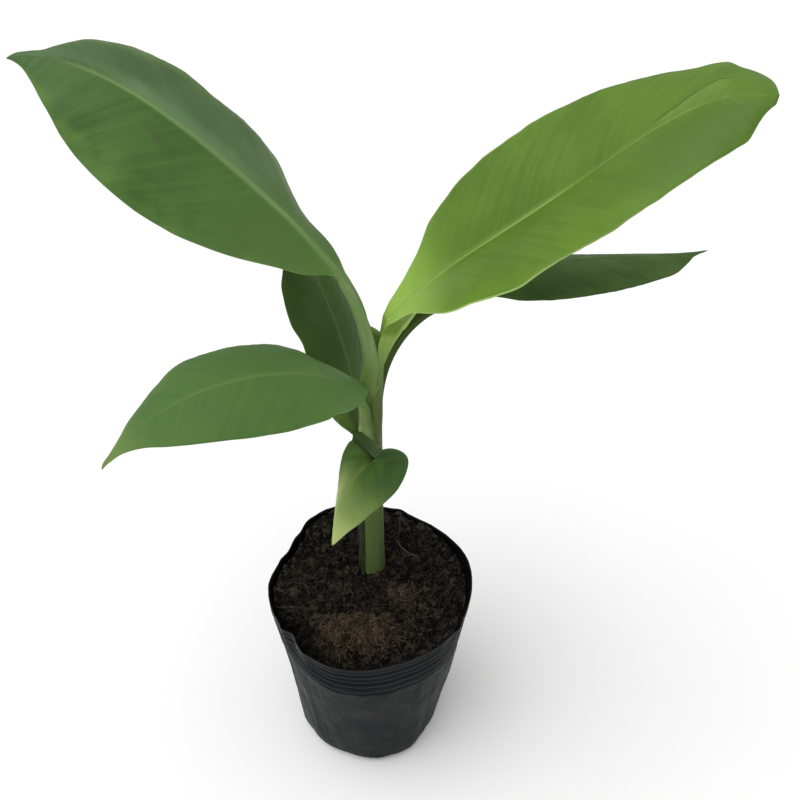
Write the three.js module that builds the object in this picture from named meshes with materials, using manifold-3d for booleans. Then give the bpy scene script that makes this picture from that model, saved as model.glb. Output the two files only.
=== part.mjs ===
// Banana sapling in a soft nursery pot.
// Millimetres, +Z up. The origin is the centre of the pot's flat underside,
// +X points to the right in the front view and +Y to the back.
//
// A short pseudostem stands in the soil. Six leaves leave it one above another,
// each a tapering petiole and a thin blade. A blade is worked out from its length,
// the course of its midrib, its half widths and the roll of its two halves.

import * as THREE from 'three';
import { mergeVertices } from 'three/addons/utils/BufferGeometryUtils.js';
import ManifoldModule from 'manifold-3d';

// ---------------------------------------------------------------- dimensions

const GAP = 0.3;                     // clearance between neighbouring pieces

const POT_HEIGHT = 116;
const POT_RIM_RADIUS = 60.1;         // mean outside radius of the mouth
const POT_FOOT_RADIUS = 41;          // outside radius where the wall meets the foot
const POT_FOOT_ROUND = 4;            // rounding between wall and underside
const POT_WALL = 1.4;
const POT_FLOOR = 2.2;
const POT_SIDES = 40;
const POT_LEVELS = 7;                // rings up the wall
// the soft mouth is pushed out of round: [cosine, sine] amplitude of each wave
const POT_MOUTH_WAVES = [[0.6, -0.2], [-2.7, -0.6], [1.5, -0.5], [0.6, 1.0], [-1.0, -0.2], [0.3, 0.4]];
const POT_WAVE_POWER = 1.6;          // how fast the waves die out towards the foot

const SOIL_TOP = 110;                // level of the soil round the stem
const SOIL_SEAT_RADIUS = 29;         // flat part of its surface
const SOIL_EDGE_TOP = 107.5;         // level at the pot's wall
const SOIL_LEVELS = 5;

const STEM_FOOT = [1.6, 17.0];       // centre of the stem at the soil
const STEM_LEAN = [2.8, 0.2];        // how far its centre moves over up to the fork
const STEM_LEAN_POWER = 5;           // upright for most of its height, leaning at the top
const STEM_FORK = 262;               // level of the fork
const STEM_RADII = [7.4, 6.6, 6.3, 6.2, 6.1, 5.9, 5.6, 5.2];   // from soil to fork
const STEM_FLARE_AT = 0.05;          // share of the height taken by the foot's flare
const STEM_SIDES = 16;

const PETIOLE_SIDES = 12;
const PETIOLE_STEPS = 10;

const BLADE_STEPS = 20;
const BLADE_THICKNESS = 1.0;         // along the margins
const RIB_DEPTH = [3.0, 0.6];        // keel under the midrib, from base to tip
const RIB_HALF_WIDTH = [2.4, 0.5];
const BLADE_FOLDS = [-1, -0.5, 0, 0.5, 1];   // lines along the blade, from margin to margin

// shares of the blade length at which the half widths are given
const WIDTH_STATIONS = [0, 0.08, 0.22, 0.42, 0.62, 0.8, 0.92, 0.97, 1];

// Each leaf: where its blade begins, the length of the blade, the slope and the
// heading of its midrib (control angles in degrees, from base to tip), its half
// widths, the roll of the left and right halves (control angles), the share of the
// right half's width, and its petiole: start, the lengths over which it keeps its
// first and its last direction, its first direction, its half width and half
// thickness at both ends, and how far its middle lies under the blade where they meet.
const LEAVES = {
  upper_left: {
    base: [-7.3, 12.6, 309.2], length: 177.7,
    slope: [50.8, 41.2, 45.2, 39.1, -12.5], heading: [175.4, 170.1, 170.8],
    halfWidths: [2.6, 13.4, 26.3, 40, 39.6, 30, 11.4, 2.8, 0.5],
    rollLeft: [-42.2, -48.1, -56, -55.5], rollRight: [-10.6, 3.9, 9, 4.8], rightShare: 0.89,
    petiole: { start: [2.9, 15.4, STEM_FORK + GAP], first: 8, last: 10, toward: [0.1, 0, 1], foot: [4.4, 3.4], head: [3.0, 2.8], drop: 2.8 },
  },
  upper_right: {
    base: [10, 14, 282], length: 201.6,
    slope: [52.4, 41.4, 26.5, 48, 69, -8.9], heading: [-5.6, -10.5, -22.9],
    halfWidths: [3.0, 9.7, 26.8, 39.8, 38.6, 28.5, 21.1, 13.8, 0.5],
    rollLeft: [22.4, 56, 35.3, 8], rollRight: [-25.3, 0.9, -9.2, -49.1], rightShare: 1.1,
    petiole: { start: [8.2, 18.4, STEM_FORK + GAP], first: 8, last: 7, toward: [0, 0, 1], foot: [3.6, 3.4], head: [3.8, 3.0], drop: 2.6 },
  },
  back_right: {
    base: [37.6, 26.2, 284], length: 157.6,
    slope: [30, -3.6, -13.6, -8.7, -1.8], heading: [22.7, 20.5, 19.4],
    halfWidths: [2.4, 4.6, 20.4, 27.6, 24.5, 18.5, 5.8, 1.2, 0.5],
    rollLeft: [-9.9, -14.9, -25, -31.9], rollRight: [-4.7, -14.1, -7.2, 1.2], rightShare: 1.0,
    petiole: { start: [6.4, 18.2, 222], first: 50, last: 9, toward: [-0.09, 0.12, 1], foot: [3.6, 3.0], head: [2.6, 2.2], drop: 1.5 },
  },
  back_left: {
    base: [-2.7, 27.4, 202.5], length: 142.3,
    slope: [88.3, 64.5, 52.8, 45.7, 29.9], heading: [126.1, 129.3, 131.2],
    halfWidths: [2.6, 12.8, 21.6, 28.8, 27.8, 18.9, 10, 3.7, 0.5],
    rollLeft: [9.3, 15.7, 23.9, 33.2], rollRight: [-40.4, -41.1, -36.7, -32.1], rightShare: 0.99,
    petiole: { start: [-1.2, 20.5, 172], first: 12, last: 8, toward: [-0.12, 0.24, 1], foot: [4.2, 3.0], head: [2.8, 2.4], drop: 1.8 },
  },
  front_left: {
    base: [3.5, 6.9, 247.9], length: 150.5,
    slope: [41.8, 24.5, 9.9, -13, -51.4], heading: [212.8, 208.8, 210.4],
    halfWidths: [2.6, 13.8, 24.3, 29.1, 26.5, 14.5, 3.2, 1.1, 0.5],
    rollLeft: [-18.7, -33.2, -33.3, -26], rollRight: [-8.1, 7.2, -4.6, -15.9], rightShare: 1.0,
    petiole: { start: [1.7, 13.2, 206], first: 18, last: 12, toward: [0, -0.06, 1], foot: [5.0, 3.0], head: [3.0, 2.4], drop: 2.2 },
  },
  front_small: {
    base: [6.9, 3.5, 208.3], length: 65.6,
    slope: [34.1, -25.2, -65.7, -92.2], heading: [246.1, 227.9, 235.3],
    halfWidths: [3.0, 20, 21.3, 19.8, 16.3, 8.1, 3.7, 1.3, 0.5],
    rollLeft: [27.6, -25.9, -36.4, -34.4], rollRight: [13.4, -46.4, -53.5, -43], rightShare: 0.85,
    petiole: { start: [1.7, 13.2, 188], first: 9, last: 6, toward: [0.08, -0.3, 1], foot: [4.6, 3.0], head: [3.2, 2.2], drop: 1.8 },
  },
};

const COLOURS = {
  pot: 0x2b2e2f, soil: 0x1c1511, stem: 0x55702f, petiole: 0x6b8b3f,
  upper_left: 0x3f6e34, upper_right: 0x7ba63a, back_right: 0x27452a,
  back_left: 0x2a4a25, front_left: 0x4d7d3c, front_small: 0x5d8433,
};

// ------------------------------------------------------------------- helpers

const rad = THREE.MathUtils.degToRad;
const lerp = THREE.MathUtils.lerp;
const V = (p) => new THREE.Vector3(p[0], p[1], p[2]);

// value at t of a curve drawn by control values
function bezier(controls, t) {
  let row = controls.slice();
  while (row.length > 1) row = row.slice(1).map((b, i) => lerp(row[i], b, t));
  return row[0];
}

// smooth interpolation through given values that never overshoots them
function monotone(xs, ys) {
  const n = xs.length;
  const h = [], d = [];
  for (let i = 0; i < n - 1; i++) { h.push(xs[i + 1] - xs[i]); d.push((ys[i + 1] - ys[i]) / h[i]); }
  const m = new Array(n).fill(0);
  for (let i = 1; i < n - 1; i++) {
    if (d[i - 1] * d[i] > 0) {
      const w1 = 2 * h[i] + h[i - 1], w2 = h[i] + 2 * h[i - 1];
      m[i] = (w1 + w2) / (w1 / d[i - 1] + w2 / d[i]);
    }
  }
  const end = (h0, h1, d0, d1) => {
    const v = ((2 * h0 + h1) * d0 - h0 * d1) / (h0 + h1);
    if (v * d0 <= 0) return 0;
    if (d0 * d1 <= 0 && Math.abs(v) > 3 * Math.abs(d0)) return 3 * d0;
    return v;
  };
  m[0] = end(h[0], h[1], d[0], d[1]);
  m[n - 1] = end(h[n - 2], h[n - 3], d[n - 2], d[n - 3]);
  return (x) => {
    let i = 0;
    while (i < n - 2 && x > xs[i + 1]) i++;
    const t = (x - xs[i]) / h[i], t2 = t * t, t3 = t2 * t;
    return (2 * t3 - 3 * t2 + 1) * ys[i] + (t3 - 2 * t2 + t) * h[i] * m[i]
      + (-2 * t3 + 3 * t2) * ys[i + 1] + (t3 - t2) * h[i] * m[i + 1];
  };
}

// closed solid through rings of equal count; its two ends are flat strips
function loft(rings) {
  const n = rings[0].length;
  const position = [];
  for (const ring of rings) for (const p of ring) position.push(p.x, p.y, p.z);
  const index = [];
  for (let r = 0; r < rings.length - 1; r++) {
    for (let k = 0; k < n; k++) {
      const a = r * n + k, b = r * n + (k + 1) % n;
      index.push(a, b, b + n, a, b + n, a + n);
    }
  }
  const cap = (row, flip) => {
    const o = row * n;
    for (let k = 0; k < n / 2 - 1; k++) {
      const a = o + k, b = o + k + 1, c = o + n - 2 - k, d = o + n - 1 - k;
      for (const t of [[a, b, c], [a, c, d]]) {
        if (new Set(t).size === 3) index.push(...(flip ? [t[0], t[2], t[1]] : t));
      }
    }
  };
  cap(0, true);
  cap(rings.length - 1, false);
  let volume = 0;
  const at = (i) => new THREE.Vector3(position[3 * i], position[3 * i + 1], position[3 * i + 2]);
  for (let i = 0; i < index.length; i += 3) {
    volume += at(index[i]).dot(at(index[i + 1]).cross(at(index[i + 2]))) / 6;
  }
  if (volume < 0) for (let i = 0; i < index.length; i += 3) [index[i + 1], index[i + 2]] = [index[i + 2], index[i + 1]];
  const geometry = new THREE.BufferGeometry();
  geometry.setAttribute('position', new THREE.Float32BufferAttribute(position, 3));
  geometry.setIndex(index);
  return geometry;
}

const wasm = await ManifoldModule();
wasm.setup();

function toSolid(geometry) {
  const g = geometry.clone();
  g.deleteAttribute('normal');
  g.deleteAttribute('uv');
  const m = mergeVertices(g, 1e-4);
  return new wasm.Manifold(new wasm.Mesh({
    numProp: 3,
    vertProperties: new Float32Array(m.attributes.position.array),
    triVerts: new Uint32Array(m.index.array),
  }));
}

function toGeometry(solid) {
  const mesh = solid.getMesh();
  const geometry = new THREE.BufferGeometry();
  geometry.setAttribute('position', new THREE.Float32BufferAttribute(mesh.vertProperties, 3));
  geometry.setIndex(new THREE.Uint32BufferAttribute(mesh.triVerts, 1));
  return geometry;
}

// the piece with all the cutters taken off it, largest remaining body only
function cutBy(geometry, cutters) {
  let solid = toSolid(geometry);
  for (const c of cutters) solid = solid.subtract(toSolid(c));
  const bodies = solid.decompose().sort((a, b) => b.volume() - a.volume());
  return toGeometry(bodies[0]);
}

// ----------------------------------------------------------------------- pot

function mouthWave(angle) {
  return POT_MOUTH_WAVES.reduce((sum, [c, s], i) => sum + c * Math.cos((i + 1) * angle) + s * Math.sin((i + 1) * angle), 0);
}

// radius of the pot's outside at an angle and a level, drawn in by inset
function potRadius(angle, z, inset = 0) {
  const t = THREE.MathUtils.clamp(z / POT_HEIGHT, 0, 1);
  return lerp(POT_FOOT_RADIUS, POT_RIM_RADIUS, t) + mouthWave(angle) * Math.pow(t, POT_WAVE_POWER) - inset;
}

// solid turned about Z: a profile of [radius fraction or inset rule, level]
function turned(profile) {
  const flat = profile.map(([, z]) => new THREE.Vector2(1, z));
  const geometry = new THREE.LatheGeometry(flat, POT_SIDES);
  const p = geometry.attributes.position;
  const rows = profile.length;
  for (let i = 0; i < p.count; i++) {
    const [radiusAt, z] = profile[i % rows];
    const angle = 2 * Math.PI * ((Math.floor(i / rows) % POT_SIDES) / POT_SIDES);
    const r = radiusAt(angle);
    p.setXYZ(i, r * Math.cos(angle), r * Math.sin(angle), z);
  }
  return closeUp(geometry);
}

// a lathe leaves zero-size faces on its axis and a seam: merge and drop them
function closeUp(geometry) {
  geometry.deleteAttribute('normal');
  geometry.deleteAttribute('uv');
  const g = mergeVertices(geometry, 1e-4);
  const index = [];
  const a = g.index.array;
  for (let i = 0; i < a.length; i += 3) {
    if (a[i] !== a[i + 1] && a[i + 1] !== a[i + 2] && a[i] !== a[i + 2]) index.push(a[i], a[i + 1], a[i + 2]);
  }
  const p = g.attributes.position;
  const at = (i) => new THREE.Vector3().fromBufferAttribute(p, i);
  let volume = 0;
  for (let i = 0; i < index.length; i += 3) volume += at(index[i]).dot(at(index[i + 1]).cross(at(index[i + 2]))) / 6;
  if (volume < 0) for (let i = 0; i < index.length; i += 3) [index[i + 1], index[i + 2]] = [index[i + 2], index[i + 1]];
  g.setIndex(index);
  return g;
}

function potGeometry() {
  const profile = [[() => 0, 0], [() => POT_FOOT_RADIUS - POT_FOOT_ROUND, 0]];
  profile.push([(a) => potRadius(a, 1.2, POT_FOOT_ROUND * 0.3), 1.2]);
  for (let i = 0; i <= POT_LEVELS; i++) {
    const z = lerp(POT_FOOT_ROUND, POT_HEIGHT, i / POT_LEVELS);
    profile.push([(a) => potRadius(a, z), z]);
  }
  for (let i = POT_LEVELS; i >= 0; i--) {
    const z = lerp(POT_FLOOR + POT_FOOT_ROUND, POT_HEIGHT, i / POT_LEVELS);
    profile.push([(a) => potRadius(a, z, POT_WALL), z]);
  }
  profile.push([() => POT_FOOT_RADIUS - POT_FOOT_ROUND - POT_WALL, POT_FLOOR], [() => 0, POT_FLOOR]);
  return turned(profile);
}

function soilGeometry() {
  const bottom = POT_FLOOR + GAP;
  const inset = POT_WALL + GAP + 0.1;
  const profile = [[() => 0, bottom], [() => POT_FOOT_RADIUS - POT_FOOT_ROUND - POT_WALL - 2 * GAP, bottom]];
  for (let i = 0; i <= SOIL_LEVELS; i++) {
    const z = lerp(bottom + POT_FOOT_ROUND, SOIL_EDGE_TOP, i / SOIL_LEVELS);
    profile.push([(a) => potRadius(a, z, inset), z]);
  }
  profile.push([() => SOIL_SEAT_RADIUS, SOIL_TOP], [() => 0, SOIL_TOP]);
  return turned(profile);
}

// ---------------------------------------------------------------------- stem

function stemAxis(z) {
  const t = Math.pow(THREE.MathUtils.clamp((z - SOIL_TOP) / (STEM_FORK - SOIL_TOP), 0, 1), STEM_LEAN_POWER);
  return [STEM_FOOT[0] + STEM_LEAN[0] * t, STEM_FOOT[1] + STEM_LEAN[1] * t];
}

function stemGeometry(grow = 0, above = 0, below = 0) {
  const steps = STEM_RADII.length - 1;
  const shares = [0, STEM_FLARE_AT];
  for (let i = 2; i <= steps; i++) shares.push(lerp(STEM_FLARE_AT, 1, (i - 1) / (steps - 1)));
  const levels = shares.map((t) => lerp(SOIL_TOP + GAP, STEM_FORK, t));
  levels[0] -= below;
  levels[levels.length - 1] += above;
  return loft(levels.map((z, i) => {
    const [cx, cy] = stemAxis(z);
    const r = STEM_RADII[i] + grow;
    return Array.from({ length: STEM_SIDES }, (_, k) => {
      const a = 2 * Math.PI * k / STEM_SIDES;
      return new THREE.Vector3(cx + r * Math.cos(a), cy + r * Math.sin(a), z);
    });
  }));
}

// -------------------------------------------------------------------- leaves

const heading = (slope, azimuth) => new THREE.Vector3(
  Math.cos(slope) * Math.cos(azimuth), Math.cos(slope) * Math.sin(azimuth), Math.sin(slope));

// tapering limb from the stem to the foot of the blade
function petioleGeometry(leaf, grow = 0) {
  const q = leaf.petiole;
  const azimuth = rad(leaf.heading[0]);
  const last = heading(rad(leaf.slope[0]), azimuth);
  const across = new THREE.Vector3(-Math.sin(azimuth), Math.cos(azimuth), 0);
  const start = V(q.start);
  const end = V(leaf.base).addScaledVector(last, -GAP).addScaledVector(last.clone().cross(across), -q.drop);
  const curve = new THREE.CubicBezierCurve3(
    start, start.clone().addScaledVector(V(q.toward).normalize(), q.first),
    end.clone().addScaledVector(last, -q.last), end);
  const rings = [];
  for (let i = 0; i <= PETIOLE_STEPS; i++) {
    const t = i / PETIOLE_STEPS;
    const p = curve.getPoint(t), d = curve.getTangent(t);
    const side = across.clone().addScaledVector(d, -across.dot(d)).normalize();
    const up = d.clone().cross(side);
    const a = lerp(q.foot[0], q.head[0], t) + grow, b = lerp(q.foot[1], q.head[1], t) + grow;
    rings.push(Array.from({ length: PETIOLE_SIDES }, (_, k) => {
      const w = 2 * Math.PI * (k + 0.5) / PETIOLE_SIDES;
      return p.clone().addScaledVector(side, a * Math.cos(w)).addScaledVector(up, b * Math.sin(w));
    }));
  }
  return loft(rings);
}

// thin blade of the leaf's outline, keeled under its midrib
function bladeGeometry(leaf) {
  const fine = 96;
  const course = [V(leaf.base)];
  for (let i = 0; i < fine; i++) {
    const s = (i + 0.5) / fine;
    const d = heading(rad(bezier(leaf.slope, s)), rad(bezier(leaf.heading, s)));
    course.push(course[i].clone().addScaledVector(d, leaf.length / fine));
  }
  const halfWidth = monotone(WIDTH_STATIONS, leaf.halfWidths);
  const rings = [];
  for (let i = 0; i <= BLADE_STEPS; i++) {
    const s = 0.5 - 0.5 * Math.cos(Math.PI * i / BLADE_STEPS);
    const j = Math.min(fine - 1, Math.floor(s * fine));
    const p = course[j].clone().lerp(course[j + 1], s * fine - j);
    const azimuth = rad(bezier(leaf.heading, s));
    const t = heading(rad(bezier(leaf.slope, s)), azimuth);
    const left = new THREE.Vector3(-Math.sin(azimuth), Math.cos(azimuth), 0);
    const up = t.clone().cross(left);
    const half = (roll, sign) => left.clone().multiplyScalar(sign * Math.cos(roll)).addScaledVector(up, Math.sin(roll));
    const toLeft = half(rad(bezier(leaf.rollLeft, s)), 1);
    const toRight = half(rad(bezier(leaf.rollRight, s)), -1);
    const upLeft = t.clone().cross(toLeft), upRight = toRight.clone().cross(t);
    const upMid = upLeft.clone().add(upRight).normalize();
    const w = Math.max(0.6, halfWidth(s));
    const rib = Math.min(0.45 * w, lerp(RIB_HALF_WIDTH[0], RIB_HALF_WIDTH[1], s));
    const keel = lerp(RIB_DEPTH[0], RIB_DEPTH[1], s) * Math.min(1, w / 4);
    const place = (side, d) => p.clone().addScaledVector(side < 0 ? toLeft : toRight, side === 0 ? 0 : Math.abs(d));
    const lines = BLADE_FOLDS.flatMap((f) => {
      if (f === 0) return [[-1, rib, upLeft], [0, 0, upMid], [1, rib, upRight]];
      const share = f < 0 ? 1 : leaf.rightShare;
      return [[f, Math.max(Math.abs(f) * w * share, rib * (1 + Math.abs(f))), f < 0 ? upLeft : upRight]];
    });
    const top = lines.map(([f, d, n]) => place(f, d).addScaledVector(n, BLADE_THICKNESS / 2));
    const under = lines.map(([f, d, n]) => place(f, d).addScaledVector(n, -BLADE_THICKNESS / 2 - (f === 0 ? keel : 0)));
    rings.push([...top, ...under.reverse()]);
  }
  return loft(rings);
}

// ------------------------------------------------------------------ assembly

const group = new THREE.Group();

function addPiece(name, geometry, color, roughness) {
  geometry.computeVertexNormals();
  const mesh = new THREE.Mesh(geometry, new THREE.MeshStandardMaterial({ color, roughness, metalness: 0, flatShading: true }));
  mesh.name = name;
  group.add(mesh);
}

addPiece('pot', potGeometry(), COLOURS.pot, 0.45);
addPiece('soil', soilGeometry(), COLOURS.soil, 0.95);
addPiece('pseudostem', stemGeometry(), COLOURS.stem, 0.5);

// petioles keep clear of the stem and of the younger petioles that they clasp
const roundStem = stemGeometry(GAP, GAP, 5);
const clasps = {
  upper_right: [],
  upper_left: ['upper_right'],
  back_right: ['upper_right', 'upper_left'],
  front_left: ['upper_right', 'upper_left', 'back_right'],
  back_left: ['back_right', 'front_left'],
  front_small: ['front_left', 'back_left'],
};
for (const [name, leaf] of Object.entries(LEAVES)) {
  const cutters = [roundStem, ...clasps[name].map((other) => petioleGeometry(LEAVES[other], GAP))];
  addPiece(`${name}_petiole`, cutBy(petioleGeometry(leaf), cutters), COLOURS.petiole, 0.5);
  addPiece(`${name}_blade`, bladeGeometry(leaf), COLOURS[name], 0.45);
}

export default group;
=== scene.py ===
import math

import bpy
import numpy as np
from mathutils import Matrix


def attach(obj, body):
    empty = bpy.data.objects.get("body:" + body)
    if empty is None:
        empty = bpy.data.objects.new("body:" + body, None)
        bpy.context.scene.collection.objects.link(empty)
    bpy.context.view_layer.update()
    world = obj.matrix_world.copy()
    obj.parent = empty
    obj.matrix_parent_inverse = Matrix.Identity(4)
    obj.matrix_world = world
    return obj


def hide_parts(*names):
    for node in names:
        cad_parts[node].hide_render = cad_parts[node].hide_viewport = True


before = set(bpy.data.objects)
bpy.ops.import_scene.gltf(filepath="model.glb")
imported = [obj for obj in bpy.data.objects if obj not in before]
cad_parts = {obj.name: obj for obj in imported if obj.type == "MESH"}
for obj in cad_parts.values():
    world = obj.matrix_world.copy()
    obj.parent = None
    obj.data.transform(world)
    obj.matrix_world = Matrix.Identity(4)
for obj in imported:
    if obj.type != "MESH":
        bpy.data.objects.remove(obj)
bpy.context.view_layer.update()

MM = 0.001
RAD = math.pi / 180.0
TAU = 2.0 * math.pi


# ----------------------------------------------------------------------------- numbers

def lerp(a, b, t):
    return a + (b - a) * t


def smooth(a, b, x):
    t = np.clip((np.asarray(x, float) - a) / (b - a), 0.0, 1.0)
    return t * t * (3.0 - 2.0 * t)


def unit(a):
    a = np.asarray(a, float)
    return a / np.linalg.norm(a, axis=-1, keepdims=True)


def bernstein(ctrl, s):
    """A value along 0..1 from control values."""
    s = np.clip(np.asarray(s, float), 0.0, 1.0)
    n = len(ctrl) - 1
    out = np.zeros_like(s)
    for i, c in enumerate(ctrl):
        out = out + math.comb(n, i) * s ** i * (1.0 - s) ** (n - i) * c
    return out


def monotone(xs, ys, x):
    """Monotone cubic through the points (xs, ys)."""
    xs, ys = np.asarray(xs, float), np.asarray(ys, float)
    h, m = np.diff(xs), np.diff(ys) / np.diff(xs)
    d = np.zeros_like(ys)
    for i in range(1, len(xs) - 1):
        if m[i - 1] * m[i] > 0:
            w1, w2 = 2 * h[i] + h[i - 1], h[i] + 2 * h[i - 1]
            d[i] = (w1 + w2) / (w1 / m[i - 1] + w2 / m[i])

    def end(h0, h1, m0, m1):
        v = ((2 * h0 + h1) * m0 - h0 * m1) / (h0 + h1)
        if v * m0 <= 0:
            return 0.0
        if m0 * m1 <= 0 and abs(v) > 3 * abs(m0):
            return 3 * m0
        return v

    d[0], d[-1] = end(h[0], h[1], m[0], m[1]), end(h[-1], h[-2], m[-1], m[-2])
    x = np.clip(np.asarray(x, float), xs[0], xs[-1])
    i = np.clip(np.searchsorted(xs, x, side="right") - 1, 0, len(xs) - 2)
    t = (x - xs[i]) / h[i]
    return ((2 * t ** 3 - 3 * t ** 2 + 1) * ys[i] + (t ** 3 - 2 * t ** 2 + t) * h[i] * d[i]
            + (3 * t ** 2 - 2 * t ** 3) * ys[i + 1] + (t ** 3 - t ** 2) * h[i] * d[i + 1])


class Noise:
    """Seeded gradient noise on arrays, about -1..1."""

    def __init__(self, seed):
        r = np.random.default_rng(seed)
        self.perm = r.permutation(256)
        self.grad = unit(r.normal(size=(256, 3)))

    def __call__(self, x, y=0.0, z=0.0):
        x, y, z = np.broadcast_arrays(np.asarray(x, float), np.asarray(y, float), np.asarray(z, float))
        xi, yi, zi = (np.floor(a).astype(int) for a in (x, y, z))
        fx, fy, fz = x - xi, y - yi, z - zi
        ux, uy, uz = (f * f * f * (f * (f * 6 - 15) + 10) for f in (fx, fy, fz))
        out = np.zeros_like(fx)
        for a in (0, 1):
            for b in (0, 1):
                for c in (0, 1):
                    k = self.perm[(self.perm[(self.perm[(xi + a) & 255] + yi + b) & 255] + zi + c) & 255]
                    g = self.grad[k]
                    dot = g[..., 0] * (fx - a) + g[..., 1] * (fy - b) + g[..., 2] * (fz - c)
                    out += dot * (ux if a else 1 - ux) * (uy if b else 1 - uy) * (uz if c else 1 - uz)
        return out * 1.7

    def fbm(self, x, y=0.0, z=0.0, octaves=4, gain=0.5):
        out, amp, f = 0.0, 1.0, 1.0
        for _ in range(octaves):
            out = out + amp * self(np.asarray(x) * f, np.asarray(y) * f + 17.3 * f, np.asarray(z) * f)
            amp, f = amp * gain, f * 2.03
        return out


# ----------------------------------------------------------------------------- meshes

def add_mesh(name, verts, faces, materials, attrs=None, loop_uv=None, flat=False):
    """A piece from vertices in millimetres, smooth-shaded unless flat."""
    me = bpy.data.meshes.new(name)
    me.from_pydata((np.asarray(verts, float) * MM).tolist(), [], [list(map(int, f)) for f in faces])
    me.polygons.foreach_set("use_smooth", np.full(len(me.polygons), not flat))
    for m in materials:
        me.materials.append(m)
    for key, values in (attrs or {}).items():
        a = me.attributes.new(key, "FLOAT", "POINT")
        a.data.foreach_set("value", np.asarray(values, dtype=np.float32))
    if loop_uv is not None:
        layer = me.uv_layers.new(name="OFBake")
        layer.data.foreach_set("uv", np.asarray(loop_uv, dtype=np.float32).ravel())
    me.update()
    ob = bpy.data.objects.new(name, me)
    bpy.context.scene.collection.objects.link(ob)
    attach(ob, "root")
    return ob


def tube_faces(rows, ring, base=0):
    """Quads and their u, v corners for a closed ring swept over rows."""
    i = np.arange(rows - 1)[:, None]
    k = np.arange(ring)[None, :]
    k1 = (k + 1) % ring
    a, b, c, d = i * ring + k, i * ring + k1, (i + 1) * ring + k1, (i + 1) * ring + k
    faces = np.stack(np.broadcast_arrays(a, b, c, d), -1).reshape(-1, 4) + base
    u0, u1 = k / ring, (k + 1) / ring
    v0, v1 = i / (rows - 1), (i + 1) / (rows - 1)
    uv = np.stack([np.stack(np.broadcast_arrays(u, v), -1)
                   for u, v in ((u0, v0), (u1, v0), (u1, v1), (u0, v1))], 2).reshape(-1, 4, 2)
    return faces, uv


def sheet_piece(name, grid, thick, material, attrs):
    """A thin closed sheet: a grid of points, backed by the same grid one thickness behind it."""
    n_u, n_v = grid.shape[:2]
    du, dv = np.gradient(grid, axis=0), np.gradient(grid, axis=1)
    back = grid - unit(np.cross(du, dv)) * thick
    verts = np.concatenate([grid, back[:, ::-1]], 1)
    ring = 2 * n_v
    faces, uv = tube_faces(n_u, ring)
    faces, uv = [tuple(q) for q in faces[:, ::-1]], [uv[:, ::-1].reshape(-1, 2) * [1.0, 0.96] + [0.0, 0.02]]
    for row, flip, v0 in ((0, False, 0.0), (n_u - 1, True, 0.985)):
        for j in range(n_v - 1):
            quad = [row * ring + j, row * ring + j + 1, row * ring + ring - 2 - j, row * ring + ring - 1 - j]
            box = np.array([(j / n_v, v0), ((j + 1) / n_v, v0), ((j + 1) / n_v, v0 + 0.01), (j / n_v, v0 + 0.01)])
            faces.append(tuple(quad[::-1] if flip else quad))
            uv.append(box[::-1] if flip else box)
    both = {k: np.concatenate([a, a[:, ::-1]], 1).ravel() for k, a in attrs.items()}
    return add_mesh(name, verts.reshape(-1, 3), faces, [material], both, np.vstack(uv))


# ----------------------------------------------------------------------------- materials

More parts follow.
